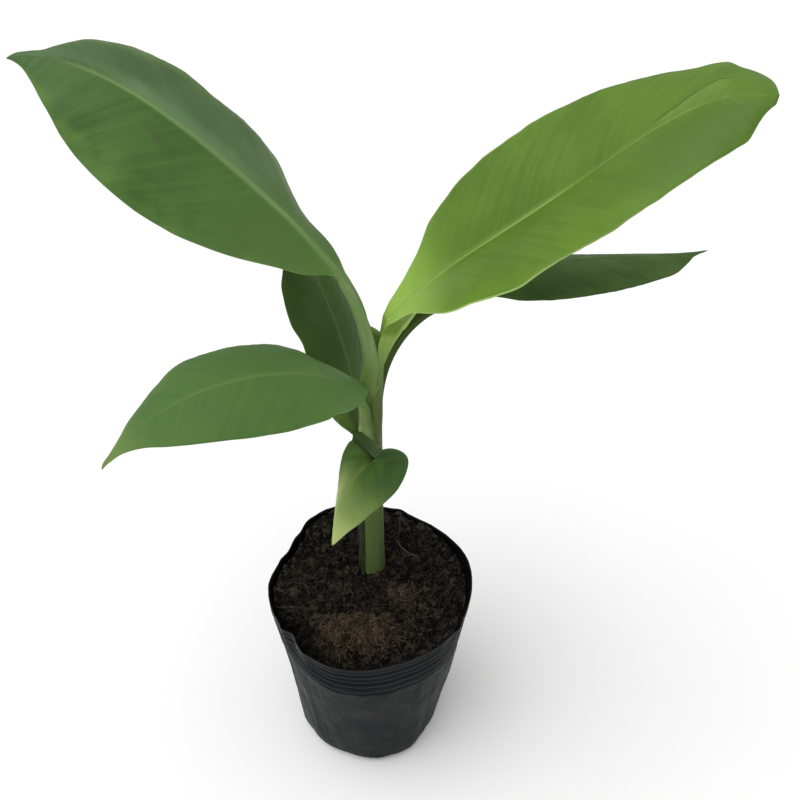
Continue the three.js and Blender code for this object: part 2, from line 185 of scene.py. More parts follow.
class Nodes:
    """Short hands for building one material."""

    def __init__(self, name):
        self.mat = bpy.data.materials.new(name)
        self.mat.use_nodes = True
        self.tree = self.mat.node_tree
        self.tree.nodes.clear()
        self.out = self.new("ShaderNodeOutputMaterial")
        self.bsdf = self.new("ShaderNodeBsdfPrincipled")
        self.link(self.bsdf.outputs[0], self.out.inputs[0])

    def new(self, kind, **props):
        n = self.tree.nodes.new(kind)
        for k, v in props.items():
            setattr(n, k, v)
        return n

    def link(self, a, b):
        self.tree.links.new(a, b)

    def put(self, socket, value):
        if isinstance(value, bpy.types.NodeSocket):
            self.link(value, socket)
        elif isinstance(value, (tuple, list)) and socket.type == "RGBA" and len(value) == 3:
            socket.default_value = (*value, 1.0)
        else:
            socket.default_value = value

    def attr(self, name):
        return self.new("ShaderNodeAttribute", attribute_name=name).outputs["Fac"]

    def coords(self):
        return self.new("ShaderNodeTexCoord").outputs["Object"]

    def math(self, op, a, b=0.0, c=None, clamp=False):
        n = self.new("ShaderNodeMath", operation=op, use_clamp=clamp)
        self.put(n.inputs[0], a)
        self.put(n.inputs[1], b)
        if c is not None:
            self.put(n.inputs[2], c)
        return n.outputs[0]

    def ramp(self, x, a, b, lo=0.0, hi=1.0, smoothly=True):
        n = self.new("ShaderNodeMapRange", clamp=True)
        n.interpolation_type = "SMOOTHSTEP" if smoothly else "LINEAR"
        self.put(n.inputs["Value"], x)
        self.put(n.inputs["From Min"], a)
        self.put(n.inputs["From Max"], b)
        self.put(n.inputs["To Min"], lo)
        self.put(n.inputs["To Max"], hi)
        return n.outputs["Result"]

    def vec(self, x=0.0, y=0.0, z=0.0):
        n = self.new("ShaderNodeCombineXYZ")
        for i, v in enumerate((x, y, z)):
            self.put(n.inputs[i], v)
        return n.outputs[0]

    def scaled(self, vector, sx, sy, sz):
        n = self.new("ShaderNodeVectorMath", operation="MULTIPLY")
        self.put(n.inputs[0], vector)
        n.inputs[1].default_value = (sx, sy, sz)
        return n.outputs[0]

    def noise(self, vector, scale, detail=3.0, rough=0.55):
        n = self.new("ShaderNodeTexNoise")
        self.put(n.inputs["Vector"], vector)
        n.inputs["Scale"].default_value = scale
        n.inputs["Detail"].default_value = detail
        n.inputs["Roughness"].default_value = rough
        return n.outputs["Fac"]

    def mix(self, fac, a, b, mode="MIX"):
        n = self.new("ShaderNodeMix", data_type="RGBA", blend_type=mode, clamp_factor=True)
        self.put(n.inputs[0], fac)
        self.put(n.inputs[6], a)
        self.put(n.inputs[7], b)
        return n.outputs[2]

    def bump(self, height, strength, distance, normal=None):
        n = self.new("ShaderNodeBump")
        n.inputs["Strength"].default_value = strength
        n.inputs["Distance"].default_value = distance
        self.put(n.inputs["Height"], height)
        if normal is not None:
            self.put(n.inputs["Normal"], normal)
        return n.outputs[0]

    def finish(self, color, rough, normal=None, specular=0.5, **sockets):
        self.put(self.bsdf.inputs["Base Color"], color)
        self.put(self.bsdf.inputs["Roughness"], rough)
        self.bsdf.inputs["Specular IOR Level"].default_value = specular
        if normal is not None:
            self.put(self.bsdf.inputs["Normal"], normal)
        for k, v in sockets.items():
            self.bsdf.inputs[k.replace("_", " ")].default_value = v
        return self.mat


def stem_tone(n):
    """The colour of the sheaths where together they are the stem, by height, with painted shade down the right side."""
    co = n.coords()
    split = n.new("ShaderNodeSeparateXYZ")
    n.link(co, split.inputs[0])
    x, z = split.outputs[0], split.outputs[2]
    fibre = n.noise(n.scaled(co, 1000.0, 1000.0, 16.0), 1.0, 3.0, 0.6)
    blotch = n.noise(n.scaled(co, 190.0, 190.0, 60.0), 1.0, 3.0, 0.6)
    col = n.mix(n.ramp(z, 0.150, 0.205), (0.098, 0.140, 0.042), (0.092, 0.150, 0.034))
    col = n.mix(n.ramp(z, 0.222, 0.262), col, (0.135, 0.225, 0.046))
    col = n.mix(n.ramp(fibre, 0.38, 0.72, 0.0, 0.26), col, (0.066, 0.098, 0.026))
    col = n.mix(n.ramp(blotch, 0.45, 0.75, 0.0, 0.30), col, (0.105, 0.118, 0.040))
    # painted shade: the right side of the stem below the fork is darker, as if turned away from the light
    right = n.math("MULTIPLY", n.ramp(x, 0.0046, 0.0074), n.ramp(z, 0.254, 0.230))
    return n.mix(n.math("MULTIPLY", right, 0.60), col, (0.062, 0.076, 0.022)), fibre


def leaf_material(name, dark, light, margin, rib, petiole, petiole_dark, under, old=None, foot=None, sheen=None, edge=None,
                  edge_run=(15.0, 90.0, 0.85, 0.25), cool=None, hollow_shade=None, shaded=None, inner=0.55, seed=0.0, specular=0.30, rough=0.46, relief=0.16):
    """Top and underside of one leaf, its rib and its petiole, in the leaf's own directions."""
    n = Nodes(name)
    vein, across = n.attr("vein"), n.attr("across")
    v = n.math("ABSOLUTE", n.attr("side"))
    along = n.attr("along")
    # broad cloudiness, streaks that follow the side veins, fine veins
    cloud = n.noise(n.vec(n.math("MULTIPLY", along, 0.03), n.math("MULTIPLY", across, 0.04), seed), 1.0, 3.0, 0.5)
    streak = n.noise(n.vec(n.math("MULTIPLY", vein, 0.30), n.math("MULTIPLY", across, 0.018), seed + 3.1), 1.0, 3.0, 0.6)
    fine = n.noise(n.vec(n.math("MULTIPLY", vein, 1.9), n.math("MULTIPLY", across, 0.03), seed + 7.7), 1.0, 2.0, 0.5)
    tone = n.math("ADD", n.math("MULTIPLY", cloud, 0.58), n.math("MULTIPLY", streak, 0.42))
    col = n.mix(n.ramp(tone, 0.38, 0.64), dark, light)
    col = n.mix(n.ramp(n.math("MULTIPLY", v, n.ramp(cloud, 0.3, 0.7, 0.6, 1.1)), inner, inner + 0.45, 0.0, 0.8), col, margin)
    col = n.mix(n.ramp(fine, 0.35, 0.75, 0.0, 0.26), col, light)
    if sheen is not None:
        # painted sheen: a greyish sky reflection over the far half, with a brighter one along the midrib
        painted_sheen = n.math("MULTIPLY", n.ramp(n.attr("side"), -0.02, -0.16), n.ramp(v, 0.35, 0.95, 0.75, 0.1))
        col = n.mix(n.math("MULTIPLY", painted_sheen, n.ramp(cloud, 0.3, 0.65, 0.45, 1.0)), col, sheen)
        painted_rib_sheen = n.math("MULTIPLY", n.ramp(n.attr("side"), -0.005, -0.05), n.ramp(v, 0.06, 0.32, 0.62, 0.0))
        painted_rib_sheen = n.math("MULTIPLY", painted_rib_sheen, n.math("MULTIPLY", n.ramp(along, 30.0, 75.0), n.ramp(along, 150.0, 115.0)))
        col = n.mix(painted_rib_sheen, col, tuple(1.6 * c for c in sheen))
    if foot is not None:
        col = n.mix(n.ramp(along, 0.0, foot[1], 0.85, 0.0), col, foot[0])
    if cool is not None:
        # a darker bluish tint where the mask says; on the upper right leaf it is a painted sheen
        col = n.mix(n.attr("cool"), col, cool)
    col = n.mix(n.attr("pale"), col, rib)
    # painted shadow: a dark line beside the fold's ridge
    col = n.mix(n.attr("crease_shadow"), col, tuple(0.56 * c for c in dark))
    if old is not None:
        col = n.mix(n.attr("warm"), col, old[0])
        col = n.mix(n.attr("dry"), col, old[1])
    under_col = n.mix(n.ramp(streak, 0.35, 0.7), under, tuple(0.82 * c for c in under))
    col = n.mix(n.math("MULTIPLY", n.attr("under"), n.ramp(along, 0.0, 26.0)), col, under_col)
    # petiole with lengthwise fibres, and the sheath that takes the stem's colour
    fibre = n.noise(n.vec(n.math("MULTIPLY", along, 0.02), n.math("MULTIPLY", across, 1.6), seed + 1.3), 1.0, 3.0, 0.6)
    pet = n.mix(n.ramp(fibre, 0.34, 0.68), petiole_dark, petiole)
    tone_col, tone_fibre = stem_tone(n)
    if shaded is not None:
        pet = n.mix(n.ramp(along, -22.0, -30.0, 0.0, 0.9), pet, shaded[1])
        # painted shade: one side of the petiole darker, as if turned away from the light
        pet = n.mix(n.ramp(n.attr("side"), 0.40, 0.95, 0.0, 0.95), pet, shaded[0])
    pet = n.mix(n.attr("sheath"), pet, tone_col)
    pet = n.mix(n.attr("rim"), pet, rib)
    col = n.mix(n.attr("stalk"), col, pet)
    if hollow_shade is not None:
        # painted shade: the hollow just under the pale rim of the petiole's underside, darker than its lower edge
        deep = n.math("MULTIPLY", n.math("MULTIPLY", n.attr("under"), n.ramp(n.attr("side"), -0.26, -0.54, 0.0, 0.92)),
                      n.math("MULTIPLY", n.ramp(along, -10.0, -3.0), n.ramp(along, 46.0, 24.0)))
        col = n.mix(deep, col, hollow_shade)
    # thin pale margin
    line = n.math("MULTIPLY", n.ramp(v, 0.975, 0.995), n.ramp(along, -4.0, 6.0))
    col = n.mix(n.math("MULTIPLY", line, n.ramp(along, *edge_run)), col, rib if edge is None else edge)
    height = n.math("ADD", n.math("MULTIPLY", fine, 0.6), n.math("MULTIPLY", streak, 0.8))
    height = n.math("ADD", height, n.math("MULTIPLY", n.math("MULTIPLY", fibre, n.attr("stalk")), 0.6))
    normal = n.bump(height, relief, 0.0004)
    r = n.ramp(tone, 0.3, 0.7, rough + 0.06, rough - 0.05)
    r = n.math("ADD", r, n.math("MULTIPLY", n.attr("under"), 0.14))
    return n.finish(col, r, normal, specular)


# ----------------------------------------------------------------------------- the stem's line

STEM_FOOT, STEM_TOP = 110.0, 262.0
STEM_RADII = [7.4, 6.6, 6.3, 6.2, 6.1, 5.9, 5.6, 5.2]


def stem_axis(z):
    t = np.clip((np.asarray(z, float) - STEM_FOOT) / (STEM_TOP - STEM_FOOT), 0.0, 1.12)
    return np.stack([1.6 + 2.8 * t ** 5, 17.0 + 0.2 * t ** 5, np.asarray(z, float) + 0.0 * t], -1)


def stem_radius(z):
    t = np.clip((np.asarray(z, float) - STEM_FOOT) / (STEM_TOP - STEM_FOOT), 0.0, 1.0)
    return monotone(np.linspace(0, 1, len(STEM_RADII)), STEM_RADII, t)


# ----------------------------------------------------------------------------- leaves

STATIONS = [0.0, 0.03, 0.08, 0.15, 0.22, 0.32, 0.42, 0.52, 0.62, 0.72, 0.80, 0.86, 0.90, 0.93, 0.96, 0.985, 1.0]


def half_of(width, roll, curl, share=1.0, at=STATIONS, foot=0.0, sweep=0.0):
    """One half of a blade: how far it reaches, how it is rolled about the midrib and how it curls, with
    the extra roll of its foot and how far its foot is swept back towards the stem."""
    return dict(at=at, width=[w * share for w in width], roll=roll, curl=curl, foot=foot, sweep=sweep)


# base, length, slope, heading, widths and rolls repeat the leaf solids; the rest shapes the sheath, the
# channelled petiole and the curl of each half.
LEAVES = {
    "upper_left": dict(
        base=[-7.3, 12.6, 309.2], length=177.7,
        slope=[50.8, 41.2, 45.2, 39.1, -12.5], heading=[175.4, 170.1, 170.8],
        left=half_of([0.6, 4.3, 13, 20.8, 27.9, 35.3, 40.3, 42, 40.5, 36.7, 30.4, 22.6, 16.7, 10.8, 4.8, 1.7, 0.5], [-42.2, -48.1, -56, -55.5], -0.45, foot=-2, sweep=0),
        right=half_of([3.8, 6.3, 9.9, 12, 20.2, 35.3, 37.6, 34.8, 35.7, 32.2, 28.2, 23.1, 13.4, 6.6, 5.3, 4.8, 0.5], [-10.6, 3.9, 9, 4.8], -0.55, foot=25.4, sweep=0),
        shift=[-1.26, 0.9, -2.11],
        azimuth=215, sheath=(190, 250), wrap=[150, 130, 82], toward=[0.37, 0, 1], first=25.8, last=6,
        half=[4.4, 3.6, 3.2], depth=[0.8, 4.66, 4.66], channel=[70, 56.9, 12],
        rib=[5.2, 4.2, 3.2, 2.2, 1.3, 0.5], rib_half=[3, 2.8, 2.5, 2.1, 1.6, 0.9], change=(-9, 7), wave=0.7, seed=11, merge=20.0,
        line=[0.85, 0.85, 0.90, 0.82, 0.78, 0.78, 0.76, 0.70, 0.50, 0.2, 0.05]),
    "upper_right": dict(
        base=[10, 14, 282], length=201.6,
        slope=[52.4, 41.4, 26.5, 48, 69, -8.9], heading=[-5.6, -10.5, -22.9],
        left=half_of([6.2, 7.8, 10.6, 17.2, 28, 35.6, 39.6, 41.2, 39.6, 35.1, 29.7, 25.5, 26, 20.4, 16.2, 11.0, 2.4], [22.4, 56, 35.3, 8], -0.45, foot=7.2, sweep=0),
        right=half_of([4.2, 7.4, 12.1, 24.5, 34.8, 42.3, 48.3, 44.3, 44.1, 38.6, 33.7, 28.7, 25.4, 22.3, 18.8, 7.4, 2.6], [-12, -0.5, -9.2, -49.1], -0.5, foot=8.8, sweep=0),
        shift=[1.8, -1.57, 1.82],
        azimuth=12, sheath=(230, 250), wrap=[150, 130, 115], toward=[0.06, 0, 1], first=12.3, last=2.6, inset=2.4,
        half=[3.8, 3.8, 3.8], depth=[1.5, 5.8, 9.0], channel=[74, 56, 40],
        rib=[9, 7.1, 5.6, 2.8, 1.6, 0.5], rib_half=[9.5, 9.5, 8.0, 3.0, 1.9, 0.9], change=(-14, 6), wave=0.9, seed=23, keel=1.35, merge=34.0, line=[0.5, 0.5, 0.55, 0.64, 0.78, 0.70, 0.30, 0.30, 0.32, 0.2, 0.1],
        fold=[(151.0, 0.8), (154.4, 2.3), (164.7, 4.1), (172.8, 7.5), (179.7, 10.4), (183.5, 10.4)]),
    "back_right": dict(
        base=[37.6, 26.2, 284], length=157.6,
        slope=[30, -3.6, -13.6, -8.7, -1.8], heading=[22.7, 20.5, 19.4],
        left=half_of([2.4, 2.8, 4.6, 12.2, 20.4, 25.4, 27.6, 26.6, 24.5, 21.9, 18.5, 12.8, 7.9, 4.8, 1.7, 0.7, 0.5], [-9.9, -14.9, -25, -31.9], -0.4, foot=0, sweep=0),
        right=half_of([2.2, 2.8, 4.8, 12.9, 21.7, 27, 28.5, 27.8, 25.5, 21.6, 18.3, 12.7, 8.2, 4.5, 2.5, 1.5, 0.5], [-4.7, -14.1, -7.2, 1.2], -0.4, foot=2.6, sweep=0),
        shift=[0, 0, 0],
        azimuth=14, sheath=(150, 222), wrap=[150, 110, 70], toward=[0.009, 0.079, 1], first=50.5, last=3.0, inset=2.6,
        half=[3.4, 3.7, 3.4], depth=[3, 2.65, 1.65], channel=[74, 74, 74],
        rib=[3.4, 3, 2.6, 2, 1.3, 0.5], rib_half=[2.6, 2.5, 2.3, 2, 1.5, 0.9], change=(-9, 7), wave=0.7, seed=37),
    "back_left": dict(
        base=[-2.7, 27.4, 202.5], length=142.3,
        slope=[88.3, 64.5, 52.8, 45.7, 29.9], heading=[126.1, 129.3, 131.2],
        left=half_of([7.1, 8.5, 13.9, 20.5, 23.9, 27.8, 27.9, 32.5, 30.2, 20.4, 17.5, 14, 11.2, 8.4, 4.6, 1.8, 0.5], [9.3, 15.7, 23.9, 33.2], -0.4, foot=-2.3, sweep=0),
        right=half_of([3.5, 8.1, 14.2, 19.9, 24.7, 29.4, 32, 28.2, 22.6, 21, 16.8, 13.5, 10.8, 8.2, 4.4, 1.6, 0.5], [-40.4, -41.1, -36.7, -32.1], -0.4, foot=0, sweep=0),
        shift=[-0.66, 0.61, -0.27],
        azimuth=122, sheath=(138, 176), wrap=[96, 90, 80], toward=[0, 0, 1], first=12, last=8,
        half=[3.8, 3.2, 2.8], depth=[1.2, 3, 4], channel=[74, 74, 74],
        rib=[4, 3.5, 2.9, 2.2, 1.4, 0.5], rib_half=[2.8, 2.6, 2.4, 2, 1.5, 0.9], change=(-9, 7), wave=0.6, seed=41, line=[0.6, 0.7, 0.8, 0.85, 0.85, 0.85, 0.8, 0.7, 0.5, 0.3, 0.1]),
    "front_left": dict(
        base=[3.5, 6.9, 247.9], length=150.5,
        slope=[41.8, 24.5, 9.9, -13, -51.4], heading=[212.8, 208.8, 210.4],
        left=half_of([0.6, 5, 12.5, 20.1, 24.6, 28.4, 30.3, 29.4, 26.4, 21.6, 15.6, 9.2, 5.6, 3.4, 2, 0.9, 0.5], [-18.7, -33.2, -33.3, -26], -0.45, foot=-18.6, sweep=0),
        right=half_of([3.7, 11.5, 12.3, 16.4, 24.2, 29.6, 28.7, 27.8, 28.2, 21.7, 15.3, 10.5, 5.7, 3.6, 2.2, 2.8, 0.5], [-8.1, 7.2, -4.6, -15.9], -0.45, foot=41.8, sweep=1.36),
        shift=[-3.43, -4.89, -3.92],
        azimuth=227.1, sheath=(160, 214), wrap=[140, 110, 75], toward=[0.13, -0.08, 1], first=9, last=1.1,
        half=[3.8, 3.25, 2.13], depth=[1.1, 2.93, 3.89], channel=[74, 68.8, 56],
        rib=[4.2, 3.7, 3, 2.2, 1.4, 0.5], rib_half=[2.8, 2.6, 2.4, 2, 1.5, 0.9], change=(-9, 7), wave=0.5, seed=53, line=[0.85, 0.85, 0.85, 0.85, 0.85, 0.80, 0.70, 0.55, 0.3, 0.15, 0.0], bare=0.24, merge_from=-16.0, merge=-3.0, stalk=(-7.0, 0.5)),
    "front_small": dict(
        base=[6.9, 3.5, 208.3], length=62.7,
        slope=[6.6, -17, -100.5, -76], heading=[238.1, 210.4, 231.5],
        left=half_of([12.0, 18.5, 25, 27, 26.5, 23.3, 20.2, 17.4, 15.2, 12.2, 8.9, 6.5, 4.9, 3.6, 2.3, 1.2, 0.5], [46.5, -22.8, -35.2, -30.4], -0.3, foot=26.6, sweep=-0.95),
        right=half_of([0.6, 6.6, 15.3, 14.8, 15, 14, 13.4, 13.4, 12.5, 9.5, 6.7, 4.6, 3.3, 2.4, 1.5, 0.8, 0.5], [38.8, -26.1, -57.8, -45.5], -0.3, foot=18.3, sweep=-0.09),
        shift=[-2.66, -2.59, -2.24],
        azimuth=285, sheath=(100, 196), wrap=[158, 150, 88], toward=[0, 0, 1], first=9, last=6, sink=0.3,
        half=[4.4, 3.8, 3.2], depth=[1.1, 2.4, 3.4], channel=[74, 74, 74],
        rib=[3.4, 3, 2.4, 1.8, 1.2, 0.5], rib_half=[2.8, 2.6, 2.3, 1.9, 1.4, 0.8], change=(-9, 7), wave=0.4, seed=67),
}

ROWS_STALK, ROWS_BLADE, HALF = 84, 176, 30


def leaf_line(L):
    """The leaf's top middle line from the foot of its sheath to its tip, with its frame."""
    az0 = L["azimuth"] * RAD
    out0 = np.array([math.cos(az0), math.sin(az0), 0.0])
    za, zb = L["sheath"]
    base = np.array(L["base"], float)
    root = base + np.array(L.get("shift", [0, 0, 0]), float)
    head = np.array(L["heading"], float) * RAD
    slope = np.array(L["slope"], float) * RAD

    # sheath on the stem, then the free petiole
    z = np.linspace(za, zb, 80)
    sink = L.get("sink", 2.2) * (1.0 - smooth(za, za + 0.5 * (zb - za), z))
    sheath = stem_axis(z) + out0 * (stem_radius(z) - L.get("inset", 0.55) - sink)[:, None]
    t0 = unit(np.array(L["toward"], float))
    d0 = np.array([math.cos(slope[0]) * math.cos(head[0]), math.cos(slope[0]) * math.sin(head[0]), math.sin(slope[0])])
    c = [sheath[-1], sheath[-1] + t0 * L["first"], root - d0 * L["last"], root]
    t = np.linspace(0, 1, 160)[1:, None]
    free = (1 - t) ** 3 * c[0] + 3 * t * (1 - t) ** 2 * c[1] + 3 * t * t * (1 - t) * c[2] + t ** 3 * c[3]
    stalk = np.vstack([sheath, free])
    run = np.concatenate([[0], np.cumsum(np.linalg.norm(np.diff(stalk, axis=0), axis=1))])
    ell_s = run - run[-1]
    ell_zb = ell_s[len(z) - 1]

    # blade
    m = 400
    s = np.linspace(0, 1, m + 1)
    sm = 0.5 * (s[1:] + s[:-1])
    ph, th = bernstein(slope, sm), bernstein(head, sm)
    dirs = np.stack([np.cos(ph) * np.cos(th), np.cos(ph) * np.sin(th), np.sin(ph)], -1)
    blade = base + np.vstack([np.zeros(3), np.cumsum(dirs, axis=0)]) * (L["length"] / m)
    blade = blade + np.array(L.get("shift", [0, 0, 0]), float) * (1 - smooth(0.0, 0.24, s))[:, None]

    ell = np.concatenate([np.linspace(ell_s[0], 0, ROWS_STALK, endpoint=False),
                          np.linspace(0, L["length"], ROWS_BLADE)])
    src = np.concatenate([ell_s[:-1], s * L["length"]])
    pts = np.vstack([stalk[:-1], blade])
    P = np.stack([np.interp(ell, src, pts[:, k]) for k in range(3)], -1)
    T = unit(np.gradient(P, ell, axis=0))
    turn = ((head[0] - az0 + math.pi) % TAU) - math.pi
    az = np.where(ell < 0, az0 + turn * smooth(ell_zb, 0.0, ell),
                  az0 + turn - head[0] + bernstein(head, ell / L["length"]))
    B = np.stack([-np.sin(az), np.cos(az), 0 * az], -1)
    B = unit(B - T * np.sum(B * T, axis=1, keepdims=True))
    N = np.cross(T, B)
    return ell, ell_zb, P, T, B, N


def spaced(values, u):
    """A value along 0..1 through evenly spaced ones."""
    return monotone(np.linspace(0, 1, len(values)), values, u)


def leaf_arrays(L):
    """Vertices of one leaf as closed rings from sheath to tip, and what its material reads."""
    ell, ell_zb, P, T, B, N = leaf_line(L)
    n_rows = len(ell)
    s = np.clip(ell / L["length"], 0, 1)
    noise = Noise(L["seed"])
    to_blade = smooth(L["change"][0], L["change"][1], ell)
    to_stalk = smooth(ell_zb - 6.0, ell_zb + L.get("open", 0.45) * abs(ell_zb), ell)
    u = np.clip(1.0 - ell / ell_zb, 0, 1)
    q = np.clip((ell - ell[0]) / (ell_zb - ell[0]), 0, 1)
    half, depth = spaced(L["half"], u), spaced(L["depth"], u)
    wrap, u_turn = spaced(L["wrap"], q) * RAD, spaced(L["channel"], u) * RAD
    za, zb = L["sheath"]
    sunk = L.get("sink", 2.2) * (1.0 - smooth(za, za + 0.5 * (zb - za), P[:, 2])) * (ell < ell_zb)
    ring_r = stem_radius(np.clip(P[:, 2], STEM_FOOT, STEM_TOP)) - L.get("inset", 0.55) - sunk
    pet_w = u_turn * (half - 0.6) / np.sin(u_turn)
    stalk_w = lerp(wrap * ring_r, pet_w, to_stalk)
    stalk_turn = lerp(wrap, u_turn, to_stalk)
    rib_s = [0.0, 0.06, 0.12, 0.25, 0.55, 1.0]
    bare = L.get("bare", 1e-6)

    f = (np.arange(HALF + 1) / HALF) ** 1.6
    sides = {}
    for side, H in ((1, L["left"]), (-1, L["right"])):
        w = lerp(stalk_w, monotone(H["at"], H["width"], s), to_blade)
        chord = bernstein(np.array(H["roll"], float) * RAD, s) + H["foot"] * RAD * (1 - smooth(0.0, 0.2, s))
        turn_b = H["curl"] * smooth(0.0, 0.25, s)
        a0 = lerp(0.0 * s, chord - 0.5 * turn_b, to_blade)
        turn = lerp(stalk_turn, turn_b, to_blade)
        # margin waves along the blade, growing outwards
        wob = L["wave"] * noise.fbm(ell / 26.0, 3.0 * side, 0.5, 3) * smooth(0.05, 0.3, s) * (1 - smooth(0.9, 1.0, s))
        d = w[:, None] * f[None, :]
        fold = None
        if side == 1 and "fold" in L:
            fa, fd = zip(*L["fold"])
            fold = np.interp(ell, fa, fd)[:, None]
            close_by = (smooth(fa[0] - 8.0, fa[0], ell) * (1 - smooth(fa[-1], fa[-1] + 8.0, ell)))[:, None]
            j = np.arange(HALF + 1)[None, :]
            lined = np.where(j < 9, (j / 9.0) ** 1.2 * np.maximum(fold - 0.5, 0.3),
                             np.where(j < 19, np.maximum(fold - 0.5, 0.3) + (j - 9) * 0.24,
                                      np.maximum(fold - 0.5, 0.3) + 2.4 + ((j - 19) / 11.0) * (w[:, None] - np.maximum(fold - 0.5, 0.3) - 2.4)))
            d = lerp(d, lined, close_by)
        F = d / np.maximum(w, 0.1)[:, None]
        ang = a0[:, None] + turn[:, None] * F
        dd = np.diff(d, axis=1)
        mid = 0.5 * (ang[:, 1:] + ang[:, :-1])
        b = np.concatenate([np.zeros((n_rows, 1)), np.cumsum(np.cos(mid) * dd, axis=1)], 1)
        h = np.concatenate([np.zeros((n_rows, 1)), np.cumsum(np.sin(mid) * dd, axis=1)], 1)
        # side veins: lines that leave the rib at an angle and swing to the tip
        vein = ell[:, None] - 0.72 * d - 0.25 * d * d / np.maximum(w[:, None], 1.0)
        blade_mask = to_blade[:, None] * smooth(0.0, 0.12, F) * (1 - 0.65 * smooth(0.6, 0.85, s) - 0.35 * smooth(0.93, 1.0, s))[:, None]
        ribs = noise.fbm(vein / 5.5, 40.0 + 9.0 * side + d / 90.0, 0.0, 3, 0.6)
        lift = 0.14 * ribs * blade_mask
        lift = lift + wob[:, None] * F ** 2 * to_blade[:, None]
        lift = lift + 0.9 * noise(ell[:, None] / 34.0, d / 30.0 + 7.0 * side, 2.0) * blade_mask * smooth(0.0, 0.5, F)
        # groove over the midrib
        g_depth = (0.75 - 0.5 * s) * min(1.0, L["length"] / 150.0) * to_blade * smooth(0.3 * bare, bare, s)
        g_half = lerp(1.9, 0.8, s)[:, None]
        lift = lift - g_depth[:, None] * np.clip(1 - (d / g_half) ** 2, 0, 1) ** 2
        # a fold pressed into the half while it was still rolled up: the strip inside it stands proud, with a painted
        # highlight on it and a painted shadow line beyond it
        crease_shadow, wedge = np.zeros_like(d), np.zeros_like(d)
        if fold is not None:
            c = fold
            there = (smooth(fa[0] - 1.0, fa[0] + 9.0, ell) * (1 - smooth(fa[-1] - 3.0, fa[-1] + 3.0, ell)))[:, None]
            rise = np.where(d < c, np.clip(d / c, 0, 1) ** 1.4, np.exp(-((d - c) / 0.70) ** 2))
            lift = lift + 0.38 * rise * there
            # painted shadow line just beyond the raised strip
            crease_shadow = np.exp(-((d - c - 0.60) / 0.50) ** 2) * there
            # painted highlight on the raised strip between the midrib and the fold
            wedge = 0.15 * there * (0.4 + 0.6 * np.clip(d / c, 0, 1)) * (1 - smooth(c - 0.3, c + 0.3, d))
        nb, nh = -np.sin(ang), np.cos(ang)
        b, h = b + nb * lift, h + nh * lift
        # underside: thin lamina, thick rib, solid petiole
        lam = 0.42
        rib_half = lerp(np.maximum(stalk_w, 1.0), monotone(rib_s, L["rib_half"], s), to_blade)
        rib_half = np.minimum(rib_half, np.maximum(w, 1.0))[:, None]
        rib_deep = lerp(depth, monotone(rib_s, L["rib"], s), to_blade)[:, None]
        x = np.clip(d / rib_half, 0, 1)
        thick = lam + np.maximum(rib_deep - lam, 0.0) * (1 - x * x) ** L.get("keel", 0.9)
        down_mix = (0.55 * to_stalk * (1 - to_blade))[:, None]
        ub, uh = lerp(nb, 0 * nb, down_mix), lerp(nh, 0 * nh + 1.0, down_mix)
        ul = np.sqrt(ub * ub + uh * uh)
        back = -H["sweep"] * d * ((1 - smooth(0.0, 0.14, s)) * to_blade)[:, None]
        sides[side] = dict(F=F, b=b, h=h, bb=b - ub / ul * thick, hb=h - uh / ul * thick, d=d, vein=vein, back=back, crease_shadow=crease_shadow, wedge=wedge)

    def place(b, h, side):
        return (P[:, None, :] + B[:, None, :] * (side * b)[..., None] + N[:, None, :] * h[..., None]
                + T[:, None, :] * sides[side]["back"][..., None])

    left, right = sides[1], sides[-1]
    top = np.concatenate([place(left["b"], left["h"], 1)[:, ::-1], place(right["b"], right["h"], -1)[:, 1:]], 1)
    bot = np.concatenate([place(left["bb"], left["hb"], 1)[:, ::-1], place(right["bb"], right["hb"], -1)[:, 1:]], 1)
    signed = np.concatenate([left["d"][:, ::-1], -right["d"][:, 1:]], 1)
    frac = np.concatenate([left["F"][:, ::-1], -right["F"][:, 1:]], 1)
    vein = np.concatenate([left["vein"][:, ::-1], right["vein"][:, 1:] + 400.0], 1)
    crease_shadow, wedge = (np.concatenate([left[k][:, ::-1], right[k][:, 1:]], 1) for k in ("crease_shadow", "wedge"))
    sheath = 1 - smooth(ell_zb + L.get("merge_from", -2.0), ell_zb + L.get("merge", 8.0), ell)
    return dict(ell=ell, s=s, top=top, bot=bot, across=signed, side=frac, vein=vein, crease_shadow=crease_shadow, wedge=wedge, sheath=sheath)


